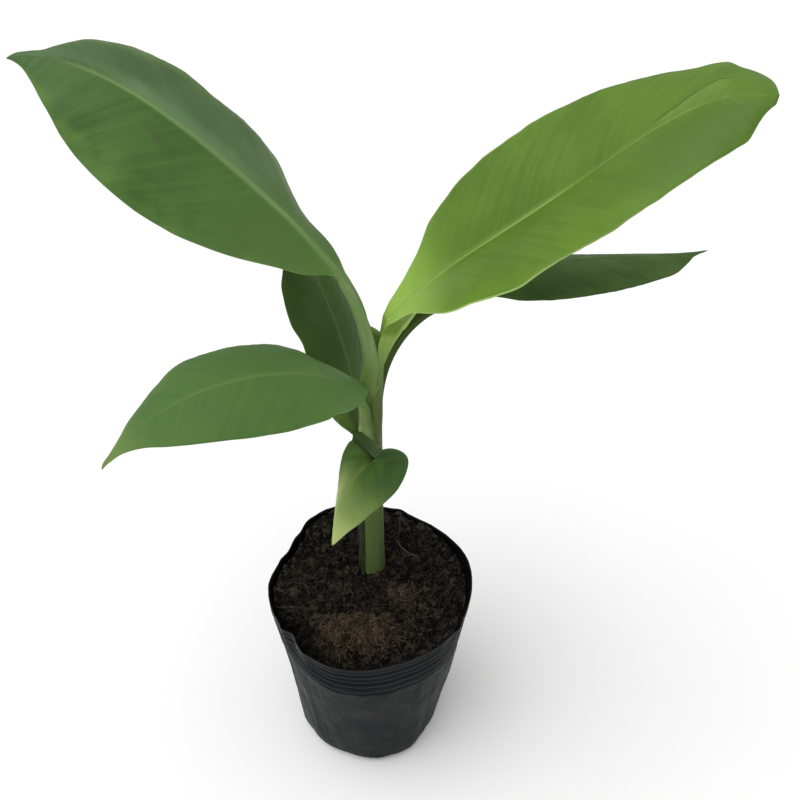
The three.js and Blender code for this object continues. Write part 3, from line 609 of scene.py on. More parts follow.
def leaf_piece(key, L, material):
    A = leaf_arrays(L)
    n_rows, cols = A["across"].shape

    def ringed(t, u):
        return np.concatenate([t, u[:, ::-1]], 1)

    verts = ringed(A["top"], A["bot"])
    ring = verts.shape[1]
    along = np.repeat(A["ell"][:, None], cols, 1)
    ss = np.repeat(A["s"][:, None], cols, 1)
    signed, frac = A["across"], A["side"]
    stalk = np.repeat((1 - smooth(*L.get("stalk", (-3.0, 9.0)), A["ell"]))[:, None], cols, 1)
    sheath = np.repeat(A["sheath"][:, None], cols, 1)
    bare = L.get("bare", 1e-6)
    line = spaced(L["line"], ss) if "line" in L else lerp(0.85, 0.14, smooth(0.0, 0.8, ss))
    pale_top = np.exp(-(signed / lerp(1.7, 0.55, ss)) ** 2) * line * smooth(0.3 * bare, bare, ss)
    # the painted highlight of the fold's strip takes the midrib's pale colour
    pale_top = np.maximum(pale_top * (1 - 0.75 * smooth(0.80, 0.94, ss)), A["wedge"])
    pale_bot = np.exp(-(signed / lerp(2.6, 0.9, ss)) ** 2) * lerp(0.9, 0.3, ss)
    rim = smooth(0.80, 0.98, np.abs(frac)) * lerp(0.8, 0.25, sheath)
    zero = np.zeros_like(along)
    masks = L["masks"](ss, frac, signed, along) if "masks" in L else {}
    attrs = {
        "along": ringed(along, along), "across": ringed(signed, signed), "side": ringed(frac, frac),
        "vein": ringed(A["vein"], A["vein"]), "under": ringed(zero, zero + 1.0), "stalk": ringed(stalk, stalk),
        "pale": ringed(pale_top, pale_bot), "rim": ringed(rim, rim * 0.0),
        "sheath": ringed(sheath, sheath), "crease_shadow": ringed(A["crease_shadow"], zero),
    }
    for m in ("warm", "dry", "cool"):
        attrs[m] = ringed(masks.get(m, zero), masks.get(m, zero))
    faces, uv = tube_faces(n_rows, ring)
    faces, uv = faces[:, ::-1], uv[:, ::-1].copy()
    uv[..., 1] = 0.012 + uv[..., 1] * 0.976
    # close both ends between top and underside
    caps, cap_uv = [], []
    for row, flip, v0 in ((0, False, 0.0), (n_rows - 1, True, 0.992)):
        for j in range(cols - 1):
            quad = [row * ring + j, row * ring + j + 1, row * ring + ring - 2 - j, row * ring + ring - 1 - j]
            corners = [(j / cols, v0), ((j + 1) / cols, v0), ((j + 1) / cols, v0 + 0.006), (j / cols, v0 + 0.006)]
            caps.append(quad[::-1] if flip else quad)
            cap_uv.append(corners[::-1] if flip else corners)
    faces = np.vstack([faces, np.array(caps)])
    uv = np.vstack([uv, np.array(cap_uv)])
    ob = add_mesh(key + "_leaf", verts.reshape(-1, 3), faces, [material],
                  {k: a.ravel() for k, a in attrs.items()}, uv)
    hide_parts(key + "_petiole", key + "_blade")
    return ob


def small_masks(s, v, across, along):
    tip = (0.42 * smooth(0.20, 0.75, s) + 0.58 * smooth(0.6, 0.98, s)) * (1 - 0.05 * smooth(0.1, 0.7, v))
    lobe = 0.85 * smooth(0.30, 0.60, v) * (1 - smooth(0.24, 0.44, s))
    left = smooth(0.12, 0.55, s) * np.exp(-((v + 0.55) / 0.48) ** 2) * 0.8
    spot = 0.75 * np.exp(-((along - 2.0) / 1.7) ** 2 - ((across - 0.6) / 1.5) ** 2)
    return {"warm": np.clip(tip + left * 0.6, 0, 1), "dry": np.clip(smooth(0.972, 0.998, s) + spot, 0, 1), "cool": lobe}


def front_masks(s, v, across, along):
    return {"warm": smooth(0.80, 0.97, s) * 0.9, "dry": smooth(0.965, 0.998, s) * 0.8}


def upper_masks(s, v, across, along):
    spot = np.exp(-((along - 101.5) / 5.5) ** 2 - ((across - 11.0 + 0.3 * (along - 101.5)) / 1.6) ** 2)
    return {"dry": 0.5 * spot + 0.3 * np.exp(-((along - 93.0) / 2.0) ** 2 - ((across - 13.0) / 0.8) ** 2)}


def back_masks(s, v, across, along):
    return {"warm": 0.9 * smooth(0.34, 0.62, v) * (1 - smooth(18.0, 42.0, along))}


def young_masks(s, v, across, along):
    # painted sheen: a darker bluish reflection over the near half towards the tip
    return {"cool": 0.8 * smooth(0.02, 0.25, -v) * smooth(0.62, 0.80, s) * (1 - 0.5 * smooth(0.8, 1.0, -v))}


LEAVES["back_left"]["masks"] = back_masks
LEAVES["upper_right"]["masks"] = young_masks
LEAVES["upper_left"]["masks"] = upper_masks
LEAVES["front_small"]["masks"] = small_masks
LEAVES["front_left"]["masks"] = front_masks

leaf_mats = {
    "upper_left": leaf_material(
        "leaf_upper_left", (0.034, 0.092, 0.013), (0.055, 0.132, 0.023), (0.098, 0.195, 0.032), (0.210, 0.320, 0.115),
        (0.168, 0.262, 0.092), (0.132, 0.222, 0.068), (0.135, 0.205, 0.085),
        old=((0.090, 0.150, 0.030), (0.060, 0.062, 0.022)), sheen=(0.090, 0.155, 0.072), foot=((0.090, 0.178, 0.040), 110.0),
        inner=0.50, seed=1.0, specular=0.25),
    "upper_right": leaf_material(
        "leaf_upper_right", (0.071, 0.153, 0.0095), (0.094, 0.187, 0.0135), (0.108, 0.210, 0.0115), (0.300, 0.460, 0.120),
        (0.280, 0.415, 0.090), (0.225, 0.350, 0.058), (0.235, 0.355, 0.072), foot=((0.316, 0.516, 0.082), 60.0),
        cool=(0.068, 0.146, 0.015), hollow_shade=(0.114, 0.202, 0.012), edge=(0.400, 0.560, 0.190), edge_run=(40.0, 150.0, 0.85, 0.20), seed=2.0, specular=0.25),
    "back_right": leaf_material(
        "leaf_back_right", (0.045, 0.091, 0.022), (0.066, 0.123, 0.032), (0.072, 0.130, 0.035), (0.074, 0.130, 0.038),
        (0.062, 0.098, 0.024), (0.034, 0.062, 0.012), (0.090, 0.130, 0.055), seed=3.0, specular=0.07, rough=0.60),
    "back_left": leaf_material(
        "leaf_back_left", (0.036, 0.079, 0.015), (0.049, 0.102, 0.020), (0.053, 0.107, 0.020), (0.094, 0.155, 0.050),
        (0.075, 0.120, 0.030), (0.050, 0.088, 0.020), (0.095, 0.140, 0.055), foot=((0.105, 0.160, 0.042), 56.0),
        old=((0.150, 0.268, 0.056), (0.080, 0.090, 0.030)), seed=4.0, specular=0.08, rough=0.62, relief=0.10),
    "front_left": leaf_material(
        "leaf_front_left", (0.066, 0.143, 0.034), (0.076, 0.159, 0.038), (0.080, 0.166, 0.036), (0.115, 0.210, 0.055),
        (0.205, 0.275, 0.090), (0.165, 0.232, 0.068), (0.120, 0.190, 0.080),
        old=((0.145, 0.230, 0.060), (0.190, 0.150, 0.060)), foot=((0.098, 0.200, 0.054), 64.0),
        shaded=((0.084, 0.148, 0.036), (0.320, 0.440, 0.155)), edge=(0.190, 0.300, 0.110), seed=5.0, specular=0.12, rough=0.58),
    "front_small": leaf_material(
        "leaf_front_small", (0.040, 0.096, 0.016), (0.074, 0.158, 0.028), (0.040, 0.098, 0.017), (0.150, 0.210, 0.045),
        (0.075, 0.120, 0.030), (0.055, 0.095, 0.024), (0.115, 0.180, 0.070),
        cool=(0.035, 0.078, 0.020),
        old=((0.405, 0.492, 0.165), (0.260, 0.160, 0.070)), edge=(0.260, 0.360, 0.130), edge_run=(22.0, 44.0, 0.05, 0.85), seed=6.0, specular=0.13, rough=0.58),
}
for key, spec in LEAVES.items():
    leaf_piece(key, spec, leaf_mats[key])


# ----------------------------------------------------------------------------- pseudostem

def stem_piece():
    n_a = 132
    z = np.concatenate([np.linspace(107.5, 256.0, 240), np.linspace(256.5, 275.0, 46)])
    n_z = len(z)
    a = np.arange(n_a) / n_a * TAU
    zz, aa = np.meshgrid(z, a, indexing="ij")
    noise = Noise(5)
    r = stem_radius(zz)
    # lengthwise ridges of the fibres and the overlapped edges of old sheaths
    ridge = 0.10 * noise.fbm(np.cos(aa) * 5.0, np.sin(aa) * 5.0, zz / 60.0, 3)
    swell = 0.18 * noise(np.cos(aa) * 1.2, np.sin(aa) * 1.2, zz / 22.0)
    seam1 = (aa - (305 * RAD + 0.10 * np.sin(zz / 18.0) + (zz - 110) * 0.0025) + math.pi) % TAU - math.pi
    seam2 = (aa - (70 * RAD - (zz - 110) * 0.004) + math.pi) % TAU - math.pi
    step = 0.38 * smooth(-0.05, 0.03, seam1) * (1 - smooth(0.2, 1.8, seam1)) + 0.30 * smooth(-0.05, 0.03, seam2) * (1 - smooth(0.2, 1.5, seam2))
    r = r - 0.25 + ridge + swell + step
    # above the fork only the flat heart of the plant is left between the two youngest petioles
    rise = smooth(262.0, 272.0, zz)
    r = r * lerp(1.0, 0.74, rise)
    close = np.clip((zz - 273.8) / 1.2, 0, 1)
    r = r * np.sqrt(np.clip(1 - close ** 2, 0.0009, 1))
    axis = stem_axis(z)
    x = axis[:, 0][:, None] + r * np.cos(aa)
    y = axis[:, 1][:, None] + r * np.sin(aa) * lerp(1.0, 0.50, rise) + 0.6 * rise
    slant = -0.8 * np.clip(x - 6.1, -4.5, 2.0) * rise
    verts = np.stack([x, y, zz + slant], -1).reshape(-1, 3)
    faces, uv = tube_faces(n_z, n_a)
    faces = [tuple(q) for q in faces]
    loops = [uv.reshape(-1, 2)]
    faces.append(tuple(range(n_a))[::-1])
    faces.append(tuple((n_z - 1) * n_a + k for k in range(n_a)))
    ca, sa = 0.5 + 0.5 * np.cos(a), 0.5 + 0.5 * np.sin(a)
    cap = np.stack([ca * 0.01, sa * 0.01], -1)
    loops += [cap[::-1], cap + [0.02, 0.0]]
    n = Nodes("stem")
    col, fibre = stem_tone(n)
    col = n.mix(n.attr("foot"), col, (0.052, 0.058, 0.026))
    col = n.mix(n.attr("strip"), col, (0.172, 0.240, 0.082))
    col = n.mix(n.attr("heart"), col, (0.150, 0.235, 0.052))
    normal = n.bump(fibre, 0.2, 0.0005)
    mat = n.finish(col, n.ramp(fibre, 0.3, 0.7, 0.55, 0.46), normal, 0.25)
    deg = np.degrees(aa)
    strip = 0.85 * smooth(234.0, 244.0, deg) * (1 - smooth(266.0, 286.0, deg)) * smooth(204.0, 209.0, zz) * (1 - smooth(230.0, 238.0, zz))
    attrs = {"strip": strip.ravel(), "foot": ((1 - smooth(112, 124, zz)) * 0.6).ravel(), "heart": smooth(267.0, 271.5, zz).ravel()}
    ob = add_mesh("pseudostem_bark", verts, faces, [mat], attrs, np.vstack(loops))
    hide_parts("pseudostem")


def band_material(name, dark, light, low, end=None):
    """A strip of sheath with fibres along it, changing to another colour towards one edge."""
    n = Nodes(name)
    fibre = n.noise(n.vec(n.math("MULTIPLY", n.attr("along"), 0.05), n.math("MULTIPLY", n.attr("across"), 1.1), 2.0), 1.0, 3.0, 0.6)
    cloud = n.noise(n.scaled(n.coords(), 150.0, 150.0, 150.0), 1.0, 3.0, 0.6)
    col = n.mix(n.ramp(n.math("ADD", n.math("MULTIPLY", fibre, 0.5), n.math("MULTIPLY", cloud, 0.5)), 0.38, 0.64), dark, light)
    if end is not None:
        col = n.mix(n.ramp(n.attr("along"), 10.0, 19.0, 0.0, 0.85), col, end)
    col = n.mix(n.attr("low"), col, low)
    return n.finish(col, n.ramp(fibre, 0.3, 0.7, 0.62, 0.5), n.bump(fibre, 0.2, 0.0004), 0.2)


# the oldest sheath gapes round the front of the stem; its leaf hangs from the lower edge of that collar
COLLAR_TOP = [(-6.6, 11.0, 216.6), (-5.0, 11.2, 216.6), (-2.7, 11.3, 215.9), (0.0, 9.9, 214.3), (3.0, 9.6, 211.2), (6.0, 11.0, 207.2), (8.2, 13.6, 203.6)]
COLLAR_LOW = [(-7.3, 5.6, 214.7), (-5.8, 4.2, 214.4), (-4.0, 3.0, 213.9), (-1.4, 1.9, 212.4), (1.6, 0.9, 209.6), (4.4, -0.6, 207.6), (7.0, -0.6, 206.6)]


def collar_piece():
    n_u, n_v = 60, 22
    u, v = np.linspace(0, 1, n_u), np.linspace(0, 1, n_v)
    top, low = (np.stack([spaced([q[k] for q in line], u) for k in range(3)], -1) for line in (COLLAR_TOP, COLLAR_LOW))
    grid = lerp(top[:, None, :], low[:, None, :], v[None, :, None])
    noise = Noise(83)
    out = unit(np.cross(np.gradient(grid, axis=0), np.gradient(grid, axis=1)))
    uu, vv = np.meshgrid(u, v, indexing="ij")
    grid = grid + out * (0.9 * np.sin(math.pi * vv) + 0.16 * noise.fbm(uu * 4.0, vv * 9.0, 0.0, 3))[..., None]
    # low: the dark colour along the lower edge is painted shadow where the collar overhangs the small leaf
    attrs = {"along": uu * 20.0, "across": vv * 9.0, "low": smooth(0.86, 1.0, vv) * 0.8}
    sheet_piece("front_small_collar", grid, 0.55, band_material("collar", (0.040, 0.078, 0.020), (0.064, 0.112, 0.030), (0.016, 0.030, 0.008), (0.092, 0.148, 0.036)), attrs)


def husk_piece():
    """What is left of the outermost, dead sheath, dry and dark on the left of the stem's foot."""
    n_u, n_v = 44, 40
    u, v = np.linspace(0, 1, n_u), np.linspace(0, 1, n_v)
    uu, vv = np.meshgrid(u, v, indexing="ij")
    noise = Noise(91)
    az = lerp(236.0, 140.0, uu) * RAD
    tall = 158.0 - 30.0 * np.abs(uu - 0.35) ** 1.2 + 3.0 * noise.fbm(uu * 9.0, 2.0, 0.0, 3)
    z = lerp(107.0, tall, vv)
    r = stem_radius(z) + 0.75 + 0.35 * noise.fbm(uu * 5.0, z / 14.0, 4.0, 3) + 0.9 * vv ** 3 * smooth(0.0, 0.3, uu)
    axis = stem_axis(z)
    grid = np.stack([axis[..., 0] + r * np.cos(az), axis[..., 1] + r * np.sin(az), z], -1)
    attrs = {"along": vv * 30.0, "across": uu * 12.0, "low": smooth(0.85, 1.0, vv) * 0.6}
    sheet_piece("dry_sheath", grid, 0.3, band_material("husk", (0.014, 0.016, 0.008), (0.040, 0.046, 0.020), (0.050, 0.042, 0.022)), attrs)


# front edge of the sheath of the back right leaf on the stem: degrees at each height
EDGE_Z = [188.0, 204.0, 216.0, 223.0, 230.0, 235.6, 237.5, 239.3, 241.5, 243.6, 247.4, 250.3, 252.3, 256.0, 260.0]
EDGE_AZ = [304.0, 296.0, 288.0, 281.0, 268.0, 264.0, 272.0, 285.0, 293.5, 303.0, 312.0, 317.0, 323.0, 338.0, 352.0]


def sheath_piece():
    n_u, n_v = 42, 84
    u, v = np.linspace(0, 1, n_u), np.linspace(0, 1, n_v)
    uu, vv = np.meshgrid(u, v, indexing="ij")
    z = lerp(188.0, 260.0, vv)
    az = lerp(monotone(EDGE_Z, EDGE_AZ, z), 440.0, uu ** 1.3) * RAD
    noise = Noise(97)
    off = lerp(-0.8, lerp(0.14, 0.62, smooth(0.0, 0.22, uu)), smooth(190.0, 226.0, z)) * (1 - 1.2 * smooth(0.55, 1.0, uu))
    r = stem_radius(z) + off + 0.08 * noise.fbm(np.cos(az) * 5.0, np.sin(az) * 5.0, z / 60.0, 3)
    axis = stem_axis(z)
    grid = np.stack([axis[..., 0] + r * np.cos(az), axis[..., 1] + r * np.sin(az), z], -1)
    n = Nodes("front_sheath")
    col, fibre = stem_tone(n)
    col = n.mix(n.ramp(fibre, 0.3, 0.7, 0.10, 0.30), col, (0.052, 0.078, 0.022))
    col = n.mix(n.attr("low"), col, (0.230, 0.310, 0.120))
    mat = n.finish(col, n.ramp(fibre, 0.3, 0.7, 0.60, 0.50), n.bump(fibre, 0.2, 0.0005), 0.12)
    edge = (1 - smooth(0.03, 0.14, uu)) * smooth(236.0, 246.0, z) * 0.6
    sheet_piece("back_right_sheath", grid, 0.30, mat, {"low": edge})


collar_piece()
husk_piece()
sheath_piece()
stem_piece()


# ----------------------------------------------------------------------------- pot

POT_H, POT_RIM, POT_FOOT = 116.0, 60.1, 41.0
WAVES = [[0.6, -0.2], [-2.7, -0.6], [1.5, -0.5], [0.6, 1.0], [-1.0, -0.2], [0.3, 0.4]]
RIM_BUMPS = [(1.4, 217, 3.0), (1.2, 325, 3.0), (1.4, 73, 4.0), (1.2, 162, 5.0), (-1.0, 138, 4.0), (0.8, 128, 4.0), (-1.5, 111, 5.0)]
FOOT_AT = [20, 110, 185, 200, 213, 224, 254, 276, 286, 304, 316, 327, 338]
FOOT_ADD = [0.0, 0.0, 2.2, 2.9, 1.6, 1.5, 0.2, 1.7, 1.4, 1.3, -0.6, -1.5, -1.2]
GROOVES = [(6.6, 1.0), (11.4, 0.35), (15.9, 1.0), (21.6, 0.9), (28.2, 1.0)]
PANELS = [222, 305, 38, 130]


def mouth_wave(a):
    return sum(c * np.cos((k + 1) * a) + s * np.sin((k + 1) * a) for k, (c, s) in enumerate(WAVES))


def around(a, centre, width):
    return np.exp(-((((a - centre * RAD + math.pi) % TAU) - math.pi) / (width * RAD)) ** 2)


def pot_radius(a, z):
    t = np.clip(z / POT_H, 0, 1)
    r = lerp(POT_FOOT, POT_RIM, t) + mouth_wave(a) * t ** 1.6
    r = r - 2.0 * around(a, 224.5, 5.0) * smooth(0.80, 1.0, t) + 1.0 * around(a, 236, 4.0) * smooth(0.80, 1.0, t)
    r = r + 1.6 * around(a, 110, 8) * smooth(0.6, 1, t) - 1.2 * around(a, 158, 10) * smooth(0.6, 1, t)
    for up, at, wide in RIM_BUMPS:
        r = r + up * around(a, at, wide) * smooth(0.78, 1.0, t)
    r = r + np.interp(np.degrees(a) % 360.0, FOOT_AT, FOOT_ADD, period=360.0) * (1 - smooth(0.0, 0.6, t))
    return r


def pot_piece():
    noise = Noise(9)
    n_a = 380
    a = np.arange(n_a) / n_a * TAU
    z_out = np.concatenate([np.linspace(0.0, 7.0, 14), np.linspace(7.8, 82.0, 66), np.linspace(82.3, POT_H, 124)])
    zz, aa = np.meshgrid(z_out, a, indexing="ij")
    t = zz / POT_H
    r = pot_radius(aa, zz)
    # rounded foot
    r = r - 5.5 * (1 - np.sqrt(np.clip(1 - (1 - np.clip(zz / 7.0, 0, 1)) ** 2, 0, 1)))
    # soft upright folds of the film below the rings, the four creases of its panels and slack in the wall
    below = smooth(0.03, 0.2, t) * (1 - smooth(0.66, 0.77, t))
    fold = noise(np.cos(aa) * 3.4, np.sin(aa) * 3.4, zz / 150.0) * 0.8 + noise(np.cos(aa) * 8.0, np.sin(aa) * 8.0, zz / 70.0) * 0.42
    fold = fold + 0.30 * np.abs(noise(np.cos(aa) * 13.0, np.sin(aa) * 13.0, zz / 90.0))
    for c in PANELS:
        off = ((aa - c * RAD - 0.05 * np.sin(zz / 19.0) + math.pi) % TAU - math.pi) / (5.0 * RAD)
        fold = fold + 0.9 * np.exp(-np.abs(off)) - 0.35 * np.exp(-(off / 3.0) ** 2)
    r = r + fold * below
    r = r + 0.30 * noise(np.cos(aa) * 5, np.sin(aa) * 5, zz / 18.0) + 0.12 * noise(np.cos(aa) * 14, np.sin(aa) * 14, zz / 6.0)
    # pleated rings under the rim: each band laps over the next
    wander = 1.0 * noise(np.cos(aa) * 1.6, np.sin(aa) * 1.6, 4.0) + 0.35 * noise(np.cos(aa) * 5.0, np.sin(aa) * 5.0, 6.0)
    down = POT_H - zz + 0.0 * aa
    ringed = np.zeros_like(r)
    swell = np.zeros_like(r)
    for i, (g, deep) in enumerate(GROOVES):
        at = g + wander * (0.3 + 0.3 * i)
        u = down - at
        ringed -= deep * np.exp(-(np.where(u < 0, u / 0.6, u / 1.7)) ** 2)
        swell += 0.55 * deep * np.exp(-((u + 2.0) / 1.6) ** 2)
    strength = 0.6 + 0.4 * smooth(-0.5, 0.4, noise(np.cos(aa) * 1.4, np.sin(aa) * 1.4, 9.0))
    r = r + (1.35 * ringed + swell) * strength
    lip = 0.5 * noise(np.cos(aa) * 4, np.sin(aa) * 4, 2.0) * smooth(POT_H - 14, POT_H, zz)
    rim_z = zz + lip * 0.8 - 0.4 * smooth(POT_H - 14, POT_H, zz)
    outer = np.stack([r * np.cos(aa), r * np.sin(aa), rim_z], -1)
    # film thickness over the rim and down the inside
    depth_in = np.concatenate([[0.15, 0.6, 1.5, 3.0], np.linspace(5.0, 40.0, 16)])
    zi, ai = np.meshgrid(POT_H - depth_in, a, indexing="ij")
    ri_top = r[-1][None, :]
    k = np.searchsorted(z_out, POT_H - depth_in).clip(0, len(z_out) - 1)
    ri = r[k, :] - np.where(zi > POT_H - 0.3, 0.35, 0.8)
    lip_i = 0.5 * noise(np.cos(ai) * 4, np.sin(ai) * 4, 2.0) * smooth(POT_H - 14, POT_H, zi)
    inner = np.stack([ri * np.cos(ai), ri * np.sin(ai), zi + lip_i * 0.8 - 0.4 * smooth(POT_H - 14, POT_H, zi)], -1)
    verts = np.concatenate([outer, inner], 0)
    rows = verts.shape[0]
    faces, uv = tube_faces(rows, n_a)
    uv[..., 1] = 0.2 + uv[..., 1] * 0.8
    faces = [tuple(q) for q in faces]
    loops = [uv.reshape(-1, 2)]
    # flat underside and inner floor out of sight under the soil
    for row, flip, cx in ((0, True, 0.1), (rows - 1, False, 0.3)):
        idx = [row * n_a + k for k in range(n_a)]
        cap = np.stack([cx + 0.09 * np.cos(a), 0.1 + 0.09 * np.sin(a)], -1)
        faces.append(tuple(idx[::-1] if flip else idx))
        loops.append(cap[::-1] if flip else cap)
    n = Nodes("pot_film")
    co = n.coords()
    dust = n.noise(co, 38.0, 5.0, 0.62)
    grain = n.noise(co, 900.0, 2.0, 0.5)
    wipe = n.noise(n.scaled(co, 75.0, 75.0, 7.0), 1.0, 4.0, 0.6)
    col = n.mix(n.ramp(dust, 0.35, 0.72), (0.0020, 0.0025, 0.0034), (0.0042, 0.0050, 0.0062))
    col = n.mix(n.ramp(wipe, 0.5, 0.8, 0.0, 0.5), col, (0.0095, 0.0102, 0.0110))
    col = n.mix(n.attr("inside"), col, (0.003, 0.003, 0.0035))
    # painted shade in the ring grooves
    col = n.mix(n.ramp(n.attr("groove_shade"), 0.72, 1.0, 0.0, 0.75), col, (0.002, 0.002, 0.0025))
    normal = n.bump(n.math("ADD", n.math("MULTIPLY", grain, 0.15), dust), 0.3, 0.0006)
    mat = n.finish(col, n.ramp(dust, 0.3, 0.75, 0.44, 0.60), normal, 0.11)
    inside = np.concatenate([np.zeros(outer.shape[:2]), np.ones(inner.shape[:2])], 0)
    groove_shade = np.concatenate([np.clip(-ringed, 0, 1), np.zeros(inner.shape[:2])], 0)
    ob = add_mesh("pot_film", verts.reshape(-1, 3), faces, [mat],
                  {"inside": inside.ravel(), "groove_shade": groove_shade.ravel()}, np.vstack(loops))
    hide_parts("pot")


pot_piece()


# ----------------------------------------------------------------------------- soil

LUMPS = [(-5.5, -33.0, 24.0, 14.0, 5.5), (22.0, -9.0, 14.0, 12.5, 5.0)]
EDGE_AT = [0, 30, 50, 90, 125, 145, 165, 185, 198, 212, 228, 245, 262, 290, 320, 345]
EDGE_UP = [-1.5, 2.0, 4.6, 5.2, 4.2, -1.2, 2.4, 1.6, -5.0, -14.0, -13.0, -8.5, -5.5, -3.5, -3.0, -2.5]
soil_noise = Noise(21)
clod_rng = np.random.default_rng(58)
CLODS = np.column_stack([clod_rng.uniform(-62, 62, (330, 2)), clod_rng.uniform(2.4, 6.5, 330), clod_rng.uniform(0.7, 2.6, 330),
                         clod_rng.uniform(0, TAU, 330), clod_rng.uniform(0.6, 1.0, 330)])


def soil_edge(x, y):
    """How much the mix stands above or below its middle level near the wall."""
    a = np.arctan2(y, x)
    q = np.hypot(x, y) / (pot_radius(a, 108.0) - 1.3)
    return np.interp(np.degrees(a) % 360.0, EDGE_AT, EDGE_UP, period=360.0) * smooth(0.60, 0.97, q)


def soil_height(x, y):
    x, y = np.asarray(x, float), np.asarray(y, float)
    z = 110.0 + soil_edge(x, y)
    z = z + 1.3 * soil_noise.fbm(x / 17.0, y / 17.0, 0.0, 3)
    # clods with crevices between them
    wx, wy = x + 1.3 * soil_noise(x / 4.0, y / 4.0, 50.0), y + 1.3 * soil_noise(x / 4.0, y / 4.0, 60.0)
    top = np.zeros_like(z)
    for cx, cy, rad, up, turn, flat in CLODS:
        c, s_ = math.cos(turn), math.sin(turn)
        dx, dy = wx - cx, wy - cy
        d2 = ((c * dx + s_ * dy) ** 2 + ((c * dy - s_ * dx) / flat) ** 2) / rad ** 2
        top = np.maximum(top, up * np.sqrt(np.clip(1 - d2, 0, 1)))
    z = z - 1.2 + top
    z = z + 0.85 * np.abs(soil_noise.fbm(x / 4.6, y / 4.6, 3.0, 3)) + 0.45 * soil_noise.fbm(x / 1.7, y / 1.7, 8.0, 2)
    for lx, ly, wx_, wy_, up in LUMPS:
        q = np.hypot((x - lx) / wx_, (y - ly) / wy_)
        z = z + up * (1 - smooth(0.25, 1.0, q + 0.25 * soil_noise(x / 8.0, y / 8.0, 11.0)))
    return z


GRID = np.arange(-68.0, 68.01, 0.5)
grid_x, grid_y = np.meshgrid(GRID, GRID, indexing="ij")
GRID_Z = soil_height(grid_x, grid_y)


def blurred(a, sigma):
    k = np.exp(-0.5 * (np.arange(-3 * sigma, 3 * sigma + 1) / sigma) ** 2)
    k = k / k.sum()
    pad = len(k) // 2
    for axis in (0, 1):
        a = np.apply_along_axis(lambda v: np.convolve(np.pad(v, pad, mode="edge"), k, mode="valid"), axis, a)
    return a


# height above or below the blurred bed, used to paint light on the crests and shade in the crevices
GRID_RELIEF_SHADE = GRID_Z - blurred(GRID_Z, 5)


def from_grid(values, x, y):
    fx, fy = (np.clip((np.asarray(v, float) + 68.0) / 0.5, 0, len(GRID) - 1.001) for v in (x, y))
    i, j = fx.astype(int), fy.astype(int)
    u, w = fx - i, fy - j
    return (values[i, j] * (1 - u) * (1 - w) + values[i + 1, j] * u * (1 - w)
            + values[i, j + 1] * (1 - u) * w + values[i + 1, j + 1] * u * w)


def lump_weight(x, y):
    w = 0.0
    for lx, ly, wx, wy, up in LUMPS:
        q = np.hypot((x - lx) / wx, (y - ly) / wy)
        w = np.maximum(w, (1 - smooth(0.45, 1.05, q + 0.3 * soil_noise(x / 7.0, y / 7.0, 31.0))) * (1.0 if wx > 20 else 0.30))
    return w


# spots of the mix painted dark as shade: x, y, reach in x and y, weight
SHADE_SPOTS = [(33.0, 10.0, 11.0, 15.0, 0.6), (-11.0, 31.0, 8.0, 8.0, 0.5), (41.0, -10.0, 8.0, 12.0, 0.35), (24.0, -16.0, 7.0, 5.0, 0.55)]


def soil_deep(x, y):
    """Where the mix lies low by the wall, and a few spots, painted dark as shade."""
    low = np.clip((-soil_edge(x, y) - 2.5) / 8.0, 0, 1) ** 1.2 * 0.9
    for wx, wy, rx, ry, w in SHADE_SPOTS:
        low = np.maximum(low, w * np.exp(-((x - wx) / rx) ** 2 - ((y - wy) / ry) ** 2))
    return low


def soil_material():
    n = Nodes("potting_mix")
    co = n.coords()
    big = n.noise(co, 130.0, 4.0, 0.65)
    small = n.noise(co, 620.0, 3.0, 0.6)
    col = n.mix(n.ramp(big, 0.38, 0.68), (0.0024, 0.0019, 0.0015), (0.0140, 0.0100, 0.0068))
    col = n.mix(n.ramp(small, 0.54, 0.72, 0.0, 0.85), col, (0.084, 0.065, 0.046))
    brown = n.mix(n.ramp(small, 0.40, 0.68), (0.0085, 0.0052, 0.0029), (0.056, 0.037, 0.019))
    col = n.mix(n.math("MULTIPLY", n.attr("fibrous"), n.ramp(big, 0.25, 0.6, 0.4, 1.0)), col, brown)
    # painted light on the crests of the relief, painted shade in its crevices
    col = n.mix(n.ramp(n.attr("relief_shade_and_tone"), 0.25, 1.0, 0.0, 0.52), col, (0.070, 0.055, 0.039))
    col = n.mix(n.ramp(n.attr("relief_shade_and_tone"), 0.05, -0.8, 0.0, 0.95), col, (0.0026, 0.0022, 0.0020))
    # painted shade where the mix lies low by the wall and in the shade spots
    col = n.mix(n.attr("deep"), col, (0.0022, 0.0019, 0.0018))
    normal = n.bump(n.math("ADD", small, big), 0.8, 0.0015)
    return n.finish(col, n.ramp(small, 0.3, 0.7, 0.95, 0.8), normal, 0.10)


